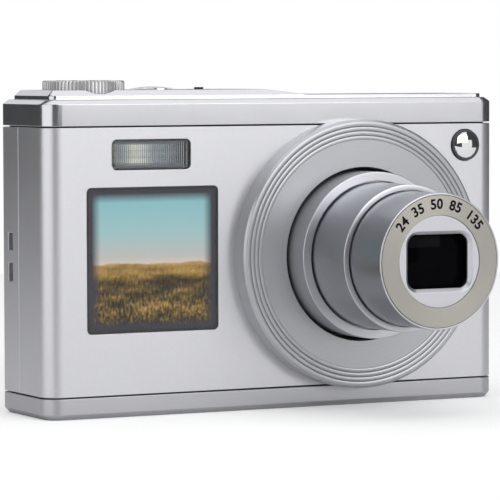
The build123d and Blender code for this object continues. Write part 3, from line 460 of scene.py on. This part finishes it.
def finish_mesh(mesh, sharp=30):
    """Smooth shading that keeps real edges."""
    mesh.shade_smooth()
    mesh.set_sharp_from_angle(angle=math.radians(sharp))
    return mesh


def from_bmesh(name, shape, sharp=30):
    """Mesh from a bmesh, with its normals made to point outwards."""
    bmesh.ops.recalc_face_normals(shape, faces=shape.faces)
    mesh = bpy.data.meshes.new(name)
    shape.to_mesh(mesh)
    shape.free()
    return finish_mesh(mesh, sharp)


CORNER_STEPS = 3
CORNER_SHARE = 0.45         # part of a side that a corner may use up


def rounded(points):
    """Closed outline of (x, y, corner radius), with a short arc-like curve at each corner."""
    result = []
    corners = [Vector(point[:2]) for point in points]
    for index, corner in enumerate(corners):
        before = corners[index - 1] - corner
        after = corners[(index + 1) % len(corners)] - corner
        reach = min(points[index][2], before.length * CORNER_SHARE, after.length * CORNER_SHARE)
        if reach <= 0:
            result.append(corner)
            continue
        start = corner + before.normalized() * reach
        end = corner + after.normalized() * reach
        for step in range(CORNER_STEPS + 1):
            t = step / CORNER_STEPS
            result.append(start * (1 - t) ** 2 + corner * 2 * t * (1 - t) + end * t * t)
    return result


def lathe(name, outline, middle, segments):
    """Closed outline of (radius, depth) turned about the line along Y through a point."""
    shape = bmesh.new()
    rings = []
    for step in range(segments):
        angle = TAU * step / segments
        rings.append([shape.verts.new((middle[0] + radius * math.cos(angle), depth,
                                       middle[2] + radius * math.sin(angle)))
                      for radius, depth in outline])
    count = len(outline)
    for step in range(segments):
        near, far = rings[step], rings[(step + 1) % segments]
        for index in range(count):
            following = (index + 1) % count
            shape.faces.new((near[index], near[following], far[following], far[index]))
    bmesh.ops.remove_doubles(shape, verts=shape.verts, dist=WELD)
    bmesh.ops.dissolve_degenerate(shape, edges=shape.edges, dist=WELD / 10)
    return from_bmesh(name, shape)


def turned(name, points, segments=240):
    """Lathe about the lens axis of an outline of (radius, depth, corner radius)."""
    return lathe(name, rounded(points), LENS, segments)


FLAT_ENOUGH = math.radians(0.6)
SHARP_EDGE = math.radians(28)


def refined(node, bevel, steps):
    """Copy of a CAD node's mesh with clean faces and softened edges."""
    shape = bmesh.new()
    shape.from_mesh(frame["nodes"][node].data)
    bmesh.ops.remove_doubles(shape, verts=shape.verts, dist=2 * WELD)
    bmesh.ops.dissolve_limit(shape, angle_limit=FLAT_ENOUGH, verts=shape.verts, edges=shape.edges)
    edges = [edge for edge in shape.edges if edge.is_manifold and edge.calc_face_angle(0) > SHARP_EDGE]
    bmesh.ops.bevel(shape, geom=edges, offset=bevel, segments=steps, profile=0.5, affect="EDGES",
                    clamp_overlap=False, offset_type="OFFSET")
    return from_bmesh(node + "_shell", shape, 50)


def refine_node(node, body, material, bevel=0.12 * MM, steps=2):
    """Softened copy of a CAD node that stands for it."""
    return piece(node + "_shell", refined(node, bevel, steps), body, material, (node,))


def loft(name, rings, closed=False, sharp=30):
    """Mesh through rings of points; both ends are capped unless the rings close on themselves."""
    shape = bmesh.new()
    made = [[shape.verts.new(point) for point in ring] for ring in rings]
    count = len(rings[0])
    pairs = list(zip(made, made[1:]))
    if closed:
        pairs.append((made[-1], made[0]))
    for first, second in pairs:
        for index in range(count):
            following = (index + 1) % count
            shape.faces.new((first[index], first[following], second[following], second[index]))
    if not closed:
        shape.faces.new(made[0])
        shape.faces.new(made[-1])
    return from_bmesh(name, shape, sharp)


ROUND_STEPS = 10
PANEL_EDGE_STEPS = 3
PANEL_CORNER_MIN = 0.05 * MM
BORDER_CORNER_MIN = 0.3 * MM


def round_rect(width, height, radius):
    """Outline of a rectangle with round corners, about the origin."""
    points = []
    for corner, (side, rise) in enumerate(((1, 1), (-1, 1), (-1, -1), (1, -1))):
        for step in range(ROUND_STEPS + 1):
            angle = math.radians(90) * (corner + step / ROUND_STEPS)
            points.append((side * (width / 2 - radius) + radius * math.cos(angle),
                           rise * (height / 2 - radius) + radius * math.sin(angle)))
    return points


def upright(outline, x, y, z):
    """Flat outline stood up at a depth."""
    return [(x + across, y, z + up) for across, up in outline]


def panel(name, width, height, radius, place, back, edge):
    """Upright plate with round corners and softened front edges."""
    x, y, z = place
    rings = []
    for step in range(PANEL_EDGE_STEPS + 1):
        angle = math.radians(90) * step / PANEL_EDGE_STEPS
        inset = edge * (1 - math.sin(angle))
        ring = round_rect(width - 2 * inset, height - 2 * inset, max(radius - inset, PANEL_CORNER_MIN))
        rings.append(upright(ring, x, y + edge * (1 - math.cos(angle)), z))
    rings.append(upright(round_rect(width, height, radius), x, back, z))
    return loft(name, rings)


def border(name, outer, inner, radius, place, back):
    """Upright frame with round corners."""
    x, y, z = place
    inner_radius = max(radius - (outer[0] - inner[0]) / 2, BORDER_CORNER_MIN)
    large, small = round_rect(*outer, radius), round_rect(*inner, inner_radius)
    rings = [upright(large, x, y, z), upright(small, x, y, z),
             upright(small, x, back, z), upright(large, x, back, z)]
    return loft(name, rings, closed=True)


# ---------------------------------------------------------------- casing
SHADED_FACES_UP = 0.9


def build_casing():
    """Covers and battery door with softened edges; the cap's faces that look up get a darker copy of the
    silver, painted shade against the light from above.
    """
    refine_node("front_cover", "camera", silver_paint)
    refine_node("rear_cover", "camera", silver_paint)
    cap = refine_node("top_cover", "camera", cap_paint).data
    cap.materials.append(deck_painted_shade)
    # Upward faces take the darker copy: painted shade.
    for face in cap.polygons:
        if face.normal.z > SHADED_FACES_UP:
            face.material_index = 1
    # Bottom cover and battery door carry the darker copy of the silver: painted shade.
    refine_node("bottom_cover", "camera", base_paint_shaded)
    refine_node("battery_door", "door", base_paint_shaded)


# ---------------------------------------------------------------- lens
BEZEL_HOLE_R = 18.07 * MM
BEZEL_FACE_SINK = 0.28 * MM
SPIGOT_WALL = 0.8 * MM
BEZEL_RIDGES = 4
RIDGE_INNER_R = 23.8 * MM
RIDGE_OUTER_R = 27.55 * MM
GROOVE_W = 0.17 * MM
GROOVE_DEPTH = 0.22 * MM
RIDGE_CROWN = 0.07 * MM
BEZEL_EDGE = 0.45 * MM


def bezel_outline():
    """Outline of the bezel: spun face, four crowned ridges with grooves, bevelled edge."""
    low, high = span("lens_bezel", 1)
    face_y = low + BEZEL_FACE_SINK
    spigot_r = BEZEL_HOLE_R + SPIGOT_WALL
    points = [(BEZEL_HOLE_R, face_y, 0.15 * MM), (RIDGE_INNER_R, face_y, 0)]
    pitch = (RIDGE_OUTER_R - RIDGE_INNER_R) / BEZEL_RIDGES
    for ridge in range(BEZEL_RIDGES):
        start = RIDGE_INNER_R + ridge * pitch
        end = start + pitch
        shoulder = low + RIDGE_CROWN
        points.append((start + GROOVE_W / 4, shoulder, 0.06 * MM))
        points.append(((start + end - GROOVE_W / 2) / 2, low, 0.3 * MM))
        if ridge < BEZEL_RIDGES - 1:
            points.append((end - GROOVE_W, shoulder, 0.06 * MM))
            points.append((end - GROOVE_W / 2, shoulder + GROOVE_DEPTH, 0))
        else:
            points.append((end, shoulder, 0.06 * MM))
    points.append((BEZEL_R, low + RIDGE_CROWN + BEZEL_EDGE, 0.15 * MM))
    points.append((BEZEL_R, BODY_FRONT, 0.05 * MM))
    points += [(spigot_r, BODY_FRONT, 0), (spigot_r, high, 0), (BEZEL_HOLE_R, high, 0)]
    return points


RIM_DEPTH = 0.9 * MM
RIM_EDGE = 0.22 * MM
RIM_TURNED = RIM_EDGE * 1.05    # faces whose middle is nearer to the front than this are turned metal
GAP = 0.05 * MM


def stage_outline(outer, inner_rim, wall, front, rear, flange_front, flange_r):
    """Outline of a telescoping stage."""
    return [
        (inner_rim, front, RIM_EDGE / 2),
        (outer, front, RIM_EDGE),
        (outer, flange_front, 0),
        (flange_r, flange_front, 0),
        (flange_r, rear, 0),
        (outer - wall, rear, 0),
        (outer - wall, front + RIM_DEPTH, 0),
        (inner_rim, front + RIM_DEPTH, 0.05 * MM),
    ]


# node, body, outer radius, inner radius of the rim, wall and flange length, in mm
STAGES = [
    ("barrel_stage_1", "barrel_1", 17.26, 15.40, 0.8, 3.6),
    ("barrel_stage_2", "barrel_2", 15.07, 13.93, 0.57, 2.5),
    ("barrel_stage_3", "barrel_3", 13.72, 13.36, 0.8, 2.5),
]


def build_bezel():
    """Ring around the lens."""
    mesh = turned("lens_bezel_ring", bezel_outline(), segments=360)
    piece("lens_bezel_ring", mesh, "camera", bezel_metal, ("lens_bezel",))


def build_stages():
    """Three telescoping tubes; each has a turned rim set on its blasted tube, and the tube metal carries
    painted light on stage 1 and painted shade on stage 3.
    """
    for node, body, outer, rim_r, wall, flange_l in STAGES:
        front, rear = span(node, 1)
        if node == "barrel_stage_3":
            front = span("name_ring", 1)[0] + GAP
        flange_r = (span(node, 0)[1] - span(node, 0)[0]) / 2
        points = stage_outline(outer * MM, rim_r * MM, wall * MM, front, rear,
                               rear - flange_l * MM, flange_r)
        mesh = turned(node + "_tube", points)
        piece(node + "_tube", mesh, body, stage_metals_lit_and_shaded[node], (node,))
        mesh.materials.append(rim_metal)
        for face in mesh.polygons:
            if face.center[1] < front + RIM_TURNED:
                face.material_index = 1


NAME_RING_R = 13.28 * MM
MASK_R = 9.3 * MM


def build_name_ring():
    """Champagne ring on the lens front."""
    front, rear = span("name_ring", 1)
    points = [
        (MASK_R, front, 0.04 * MM),
        (NAME_RING_R, front, 0.08 * MM),
        (NAME_RING_R, rear, 0),
        (MASK_R, rear, 0),
    ]
    mesh = turned("name_ring_plate", points)
    piece("name_ring_plate", mesh, "barrel_3", champagne, ("name_ring",))


GLYPH_SWELL = 0.03          # how much a stroke is thickened, as a share of the letter's size


def glyph(text, size):
    """Thin mesh of one letter, centred on the origin in X and resting on Y 0."""
    curve = bpy.data.curves.new("glyph", "FONT")
    curve.body = text
    curve.size = size
    curve.align_x = "CENTER"
    curve.extrude = PRINT
    curve.offset = size * GLYPH_SWELL
    curve.resolution_u = 4
    holder = bpy.data.objects.new("glyph", curve)
    bpy.context.scene.collection.objects.link(holder)
    bpy.context.view_layer.update()
    depsgraph = bpy.context.evaluated_depsgraph_get()
    mesh = bpy.data.meshes.new_from_object(holder.evaluated_get(depsgraph))
    bpy.data.objects.remove(holder)
    return mesh


def add_glyph(shape, text, size, place):
    """Puts a letter into a bmesh at a place."""
    mesh = glyph(text, size)
    mesh.transform(place)
    shape.from_mesh(mesh)
    bpy.data.meshes.remove(mesh)


def plain_mesh(name, shape):
    """Mesh from a bmesh, left as it is."""
    mesh = bpy.data.meshes.new(name)
    shape.to_mesh(mesh)
    shape.free()
    return mesh


RING_TEXT = "24 35 50 85 135"
RING_TEXT_R = 10.6 * MM
RING_TEXT_SIZE = 2.8 * MM
RING_TEXT_SPREAD = math.radians(104)


def build_ring_text():
    """Focal lengths along the upper part of the name ring."""
    stand = Matrix.Rotation(math.radians(90), 4, "X")
    lift = Matrix.Translation((0, 0, RING_TEXT_R))
    place = Matrix.Translation((LENS[0], span("name_ring", 1)[0], LENS[2]))
    shape = bmesh.new()
    for index, letter in enumerate(RING_TEXT):
        if letter != " ":
            turn = (index / (len(RING_TEXT) - 1) - 0.5) * RING_TEXT_SPREAD
            add_glyph(shape, letter, RING_TEXT_SIZE, place @ Matrix.Rotation(turn, 4, "Y") @ lift @ stand)
    piece("ring_marks", plain_mesh("ring_marks", shape), "barrel_3", marking)


def build_lens_front():
    """Mask around the front glass."""
    refine_node("lens_mask", "barrel_3", mask_silver, 0.06 * MM)


# ---------------------------------------------------------------- front of the body
SCREEN_GLASS_T = 0.4 * MM
SCREEN_CORNER_R = 1.0 * MM
SCREEN_EDGE = 0.07 * MM
SCREEN_BORDER = 0.55 * MM
BORDER_GAP = 0.01 * MM
DISPLAY_LAP = 0.1 * MM
DISPLAY_GAP = 0.06 * MM
DISPLAY_CORNER_R = 0.4 * MM
DISPLAY_EDGE = 0.02 * MM


def build_front_screen():
    """Cover glass with a printed black border, over the display."""
    low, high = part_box("front_screen_glass")
    x, _, z = (low + high) / 2
    width, height = high[0] - low[0], high[2] - low[2]
    glass_back = low[1] + SCREEN_GLASS_T
    glass = panel("front_screen_pane", width, height, SCREEN_CORNER_R, (x, low[1], z), glass_back,
                  SCREEN_EDGE)
    piece("front_screen_pane", glass, "camera", screen_cover, ("front_screen_glass",))
    inner = (width - 2 * SCREEN_BORDER, height - 2 * SCREEN_BORDER)
    edge = border("front_screen_border", (width, height), inner, SCREEN_CORNER_R,
                  (x, glass_back + BORDER_GAP, z), high[1])
    piece("front_screen_border", edge, "camera", inner_black)
    low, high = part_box("front_screen_module")
    x, _, z = (low + high) / 2
    size = inner[0] + 2 * DISPLAY_LAP
    shown = panel("front_screen_display", size, size, DISPLAY_CORNER_R, (x, glass_back + DISPLAY_GAP, z),
                  high[1], DISPLAY_EDGE)
    piece("front_screen_display", shown, "camera", picture, ("front_screen_module",))


FLASH_W = 17.6 * MM
FLASH_H = 6.05 * MM
FLASH_CORNER_R = 1.1 * MM
FLASH_PANE_T = 0.35 * MM
FLASH_PANE_EDGE = 0.12 * MM
RIB_SIDE_IN = 0.6 * MM
RIB_END_IN = 0.4 * MM
RIB_PITCH = 0.42 * MM
RIB_DEPTH = 0.16 * MM
RIB_STEPS = 5
RIB_PLATE_T = 0.3 * MM
TROUGH_FLOOR_T = 0.3 * MM
TROUGH_WALL = (0.3 * MM, 0.25 * MM)
TROUGH_INNER_R = 0.5 * MM
TROUGH_OUTER_R = 0.6 * MM
TROUGH_MOUTH_IN = 0.55 * MM
TROUGH_BEND_IN = 0.9 * MM


def flash_ribs(half_w, half_h, middle, front):
    """Clear plate with upright round ribs on its back."""
    count = round(2 * half_w / RIB_PITCH)
    pitch = 2 * half_w / count
    back = front + RIB_PLATE_T
    outline = [(half_w, front + BORDER_GAP), (-half_w, front + BORDER_GAP)]
    for rib in range(count):
        for step in range(RIB_STEPS):
            rise = RIB_DEPTH * math.sin(math.pi * step / RIB_STEPS)
            outline.append((-half_w + pitch * (rib + step / RIB_STEPS), back + rise))
    outline.append((half_w, back))
    ends = (middle[2] - half_h, middle[2] + half_h)
    rings = [[(middle[0] + across, y, z) for across, y in outline] for z in ends]
    return loft("flash_ribs", rings, sharp=60)


def build_flash():
    """Ribbed flash window over its reflector."""
    low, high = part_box("flash_window")
    middle = (low + high) / 2
    x, _, z = middle
    pane_back = low[1] + FLASH_PANE_T
    pane = panel("flash_pane", FLASH_W, FLASH_H, FLASH_CORNER_R, (x, low[1], z), pane_back, FLASH_PANE_EDGE)
    piece("flash_pane", pane, "camera", flash_clear, ("flash_window",))
    half_w, half_h = FLASH_W / 2 - RIB_SIDE_IN, FLASH_H / 2 - RIB_END_IN
    ribs = flash_ribs(half_w, half_h, middle, pane_back)
    piece("flash_ribs", ribs, "camera", flash_clear)
    _, reflector_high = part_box("flash_reflector")
    rear = reflector_high[1]
    floor_y = rear - TROUGH_FLOOR_T
    mouth_y = pane_back + TROUGH_MOUTH_IN
    steps = [(1.0, 1.0, mouth_y), (0.97, 0.86, pane_back + TROUGH_BEND_IN), (0.92, 0.72, floor_y)]
    inside = [upright(round_rect(2 * half_w * wide, 2 * half_h * tall, TROUGH_INNER_R), x, y, z)
              for wide, tall, y in steps]
    around_it = round_rect(2 * (half_w + TROUGH_WALL[0]), 2 * (half_h + TROUGH_WALL[1]), TROUGH_OUTER_R)
    outside = [upright(around_it, x, mouth_y, z), upright(around_it, x, rear, z)]
    trough = loft("flash_trough", inside[::-1] + outside)
    piece("flash_trough", trough, "camera", flash_film_painted_light, ("flash_reflector",))
    trough.materials.append(flash_wall)
    for face in trough.polygons:
        if face.center[1] < floor_y - GAP:
            face.material_index = 1


LAMP_DOME_R = 2.95 * MM
LAMP_DOME_RISE = 0.85 * MM
LAMP_DOME_STEPS = 12


def build_lamp():
    """Chrome dome in a thin dark ring."""
    low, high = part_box("lamp_lens")
    base = low[1] + LAMP_DOME_RISE
    outline = [Vector((LAMP_DOME_R, high[1]))]
    for step in range(LAMP_DOME_STEPS + 1):
        angle = math.radians(90) * step / LAMP_DOME_STEPS
        outline.append(Vector((LAMP_DOME_R * math.cos(angle), base - LAMP_DOME_RISE * math.sin(angle))))
    outline.append(Vector((0, high[1])))
    dome = lathe("lamp_dome", outline, centre("lamp_rim"), segments=96)
    piece("lamp_dome", dome, "camera", chrome, ("lamp_lens",))
    refine_node("lamp_rim", "camera", dark_chrome, 0.06 * MM)


# ---------------------------------------------------------------- controls on the top
DIAL_R = 8.35 * MM
DIAL_SHAFT_R = 2.0 * MM
DIAL_SHAFT_L = 3.2 * MM
DIAL_TEETH = 66
TOOTH_STEPS = 6
TOOTH_DEPTH = 0.27 * MM
DIAL_GROOVE = 0.12 * MM
DIAL_NUMBERS = "12345678"
DIAL_NUMBER_R = 5.0 * MM
DIAL_NUMBER_SIZE = 2.3 * MM


def dial_levels(low, top):
    """Height, inset from the dial's radius in mm, and share of the tooth depth, from the bottom up."""
    base = low + DIAL_SHAFT_L
    shaft = (DIAL_R - DIAL_SHAFT_R) / MM
    return [
        (low, shaft, 0.0), (base, shaft, 0.0), (base, 0.25, 0.0), (base + 0.2 * MM, 0.0, 1.0),
        (top - 0.35 * MM, 0.0, 1.0), (top - 0.12 * MM, 0.12, 0.9), (top, 0.35, 0.5), (top, 0.72, 0.0),
        (top, 1.5, 0.0), (top - DIAL_GROOVE, 1.62, 0.0), (top - DIAL_GROOVE, 1.85, 0.0), (top, 1.97, 0.0),
    ]


def dial_ring(z, inset, cut):
    """One level of the knurled dial."""
    ring = []
    for step in range(DIAL_TEETH * TOOTH_STEPS):
        angle = TAU * step / (DIAL_TEETH * TOOTH_STEPS)
        wave = 0.5 - 0.5 * math.cos(TAU * (step % TOOTH_STEPS) / TOOTH_STEPS)
        radius = DIAL_R - inset * MM - cut * TOOTH_DEPTH * (1 - wave) ** 2
        ring.append((DIAL[0] + radius * math.cos(angle), DIAL[1] + radius * math.sin(angle), z))
    return ring


def build_dial():
    """Knurled dial with plain numbers."""
    low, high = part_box("mode_dial")
    top = high[2] - 2 * PRINT
    cap = loft("dial_cap", [dial_ring(*level) for level in dial_levels(low[2], top)], sharp=35)
    piece("dial_cap", cap, "dial", dial_silver, ("mode_dial",))
    lift = Matrix.Translation((0, DIAL_NUMBER_R - DIAL_NUMBER_SIZE / 3, 0))
    place = Matrix.Translation((DIAL[0], DIAL[1], top + PRINT))
    shape = bmesh.new()
    for index, digit in enumerate(DIAL_NUMBERS):
        turn = Matrix.Rotation(-TAU * index / len(DIAL_NUMBERS), 4, "Z")
        add_glyph(shape, digit, DIAL_NUMBER_SIZE, place @ turn @ lift)
    piece("dial_marks", plain_mesh("dial_marks", shape), "dial", marking)


def build_top_controls():
    """Mode dial, zoom lever and shutter button."""
    build_dial()
    refine_node("zoom_lever", "lever", control_silver, 0.08 * MM)
    refine_node("shutter_button", "shutter", control_silver, 0.08 * MM)


# ---------------------------------------------------------------- rear and underside, marks in mm
PAD_ARROW_AT = 6.7


def swung(x, z, degrees):
    """Flat point turned about the origin."""
    angle = math.radians(degrees)
    return x * math.cos(angle) - z * math.sin(angle), x * math.sin(angle) + z * math.cos(angle)


def arrow(degrees, reach=0.0, size=0.9):
    """Triangle that points away from the origin, set out by a reach."""
    corners = ((size, 0), (-size / 2, size), (-size / 2, -size))
    return [swung(reach + across, up, degrees) for across, up in corners]


def bar(z, width=2.0, height=0.3):
    """Level bar at a height."""
    return [(-width / 2, z - height / 2), (width / 2, z - height / 2), (width / 2, z + height / 2),
            (-width / 2, z + height / 2)]


def cross(reach=1.05, half=0.16):
    """Diagonal cross."""
    quarter = ((reach, -half), (reach, half), (half, half))
    return [swung(x, z, 45 + 90 * turn) for turn in range(4) for x, z in quarter]


def dot(radius=0.6, steps=32):
    """Round spot."""
    return [swung(radius, 0, 360 * step / steps) for step in range(steps)]


REAR_MARKS = [
    ("playback_button", "playback", [arrow(180)]),
    ("menu_button", "menu", [bar(z) for z in (-0.75, 0, 0.75)]),
    ("delete_button", "delete", [cross()]),
    ("selfie_button", "selfie", [dot()]),
    ("nav_ring", "pad", [arrow(90 * turn, PAD_ARROW_AT, 0.7) for turn in range(4)]),
]


def build_rear_marks():
    """Plain printed signs on the rear buttons and the pad."""
    for node, body, outlines in REAR_MARKS:
        x, _, z = centre(node)
        face = span(node, 1)[1]
        shape = bmesh.new()
        for outline in outlines:
            front, back = ([shape.verts.new((x + across * MM, y, z + up * MM)) for across, up in outline]
                           for y in (face + PRINT, face - PRINT))
            shape.faces.new(front)
            shape.faces.new(back)
            for index in range(len(outline)):
                following = (index + 1) % len(outline)
                shape.faces.new((front[index], front[following], back[following], back[index]))
        name = node + "_marks"
        piece(name, from_bmesh(name, shape), body, marking)


def build_rear():
    """Screen glass, buttons and pad with their printed signs, tripod nut and battery catch."""
    refine_node("rear_screen_glass", "camera", screen_black, 0.1 * MM)
    for node in ("playback_button", "delete_button", "selfie_button", "menu_button"):
        refine_node(node, node.split("_")[0], control_silver, 0.12 * MM)
    refine_node("nav_ring", "pad", control_silver, 0.15 * MM)
    refine_node("ok_button", "ok", control_silver, 0.12 * MM)
    refine_node("tripod_nut", "camera", steel, 0.1 * MM)
    refine_node("battery_latch", "latch", control_dark, 0.05 * MM)
    build_rear_marks()


# ---------------------------------------------------------------- camera, floor and light
# angles in degrees, lens and sensor in mm, reach in m
CAMERA_AT = Vector((-318.6, -611.9, 70.8)) * MM
CAMERA_YAW = 27.44
CAMERA_PITCH = 3.185
CAMERA_ROLL = 0.142
CAMERA_FOCAL = 237.3
SENSOR_W = 36
VIEW_REACH = 50


def build_camera():
    """Camera at the viewing angle, with a long lens."""
    data = bpy.data.cameras.new("view")
    data.lens = CAMERA_FOCAL
    data.sensor_width = SENSOR_W
    data.clip_end = VIEW_REACH
    camera = bpy.data.objects.new("view", data)
    bpy.context.scene.collection.objects.link(camera)
    camera.location = CAMERA_AT
    turn = Matrix.Rotation(math.radians(-CAMERA_YAW), 4, "Z")
    tilt = Matrix.Rotation(math.radians(90 - CAMERA_PITCH), 4, "X")
    roll = Matrix.Rotation(math.radians(-CAMERA_ROLL), 4, "Z")
    camera.rotation_euler = (turn @ tilt @ roll).to_euler()
    bpy.context.scene.camera = camera


FLOOR_R = 0.45
FLOOR_GLOW = 0.26


def build_floor():
    """Plain pale floor, which glows a little for the camera only."""
    material, tree, shader = new_material("pale_floor")
    tree.links.new(ramp(tree, noise(tree, 3.0), [(0.3, (0.93, 0.93, 0.93)), (0.7, (0.95, 0.95, 0.95))]),
                   shader.inputs["Base Color"])
    shader.inputs["Roughness"].default_value = 0.9
    path = tree.nodes.new("ShaderNodeLightPath")
    glow = maths(tree, "MULTIPLY", path.outputs["Is Camera Ray"], FLOOR_GLOW)
    shader.inputs["Emission Color"].default_value = (1, 1, 1, 1)
    tree.links.new(glow, shader.inputs["Emission Strength"])
    shape = bmesh.new()
    bmesh.ops.create_circle(shape, cap_ends=True, radius=FLOOR_R, segments=96)
    mesh = from_bmesh("floor", shape)
    mesh.materials.append(material)
    floor = bpy.data.objects.new("floor", mesh)
    bpy.context.scene.collection.objects.link(floor)


def area_light(name, place, size, power):
    """Soft rectangular light that looks at the camera's body."""
    data = bpy.data.lights.new(name, "AREA")
    data.shape = "RECTANGLE"
    data.size, data.size_y = size
    data.energy = power
    light = bpy.data.objects.new(name, data)
    light.location = place
    direction = LIGHT_AIM - place
    light.rotation_euler = direction.to_track_quat("-Z", "Y").to_euler()
    bpy.context.scene.collection.objects.link(light)


def around(azimuth, distance, height):
    """Point at an azimuth from +Y towards +X."""
    angle = math.radians(azimuth)
    return Vector((distance * math.sin(angle), distance * math.cos(angle), height))


SURROUND = 0.055


def build_surround():
    """Surround that is white behind the object and dim in what the metal reflects."""
    world = bpy.data.worlds.new("surround")
    world.use_nodes = True
    tree = world.node_tree
    dim = tree.nodes["Background"]
    dim.inputs["Color"].default_value = (0.93, 0.96, 1.0, 1)
    dim.inputs["Strength"].default_value = SURROUND
    white = tree.nodes.new("ShaderNodeBackground")
    white.inputs["Strength"].default_value = 1.0
    white.inputs["Color"].default_value = (1, 1, 1, 1)
    path = tree.nodes.new("ShaderNodeLightPath")
    mix = tree.nodes.new("ShaderNodeMixShader")
    tree.links.new(path.outputs["Is Camera Ray"], mix.inputs[0])
    tree.links.new(dim.outputs[0], mix.inputs[1])
    tree.links.new(white.outputs[0], mix.inputs[2])
    tree.links.new(mix.outputs[0], tree.nodes["World Output"].inputs["Surface"])
    bpy.context.scene.world = world


LIGHT_AIM = Vector((0, 0, 0.03))
# name, azimuth in degrees, distance and height, size of the light and its power in watts
LIGHTS = [
    ("front", 166, 1.1, 0.52, (0.95, 0.8), 6.5),
    ("front_low", 147, 1.1, -0.02, (0.6, 0.5), 0.75),
    ("left", 256, 1.0, 0.2, (1.3, 0.8), 4.2),
    ("top", 180, 0.05, 1.2, (1.8, 1.5), 11.0),
    ("behind", 8, 1.2, 0.62, (1.2, 0.7), 2.4),
]


def build_lights():
    """Large soft lights: two in front, one at the left, one overhead and one above and behind."""
    for name, azimuth, distance, height, size, power in LIGHTS:
        area_light(name, around(azimuth, distance, height), size, power)
    bpy.context.scene.view_settings.view_transform = "Standard"


# ---------------------------------------------------------------- materials of the CAD nodes that stay
NODE_MATERIALS = {
    "chassis_black": chassis_black,
    "screw_steel": steel,
    "inner_black": inner_black,
    "lens_glass": lens_painted_shade,
    "motor_steel": steel,
    "board_green": board,
    "screen_glass": screen_cover,
    "display": screen_black,
    "flash_clear": flash_clear,
    "flash_mirror": mirror,
    "chrome_trim": chrome,
    "capacitor_sleeve": control_dark,
    "rubber_mat": rubber,
    "control_silver": control_silver,
    "control_dark": control_dark,
    "battery_wrap": battery_wrap,
    "card_plastic": card_blue,
    "silver_body": silver_paint,
    "bezel_metal": bezel_metal,
    "barrel_metal": stage_metals_lit_and_shaded["barrel_stage_2"],
    "champagne": champagne,
    "mask_silver": mask_silver,
}


def finish_nodes():
    """Gives every CAD node the material of its slot."""
    slots = {entry["node"]: entry["material_slot"] for entry in frame["record"]["subparts"]}
    for node, shown in frame["nodes"].items():
        shown.data.materials.clear()
        shown.data.materials.append(NODE_MATERIALS[slots[node]])


build_camera()
build_floor()
build_lights()
build_surround()
finish_nodes()
build_casing()
build_bezel()
build_stages()
build_name_ring()
build_ring_text()
build_lens_front()
build_front_screen()
build_flash()
build_lamp()
build_top_controls()
build_rear()
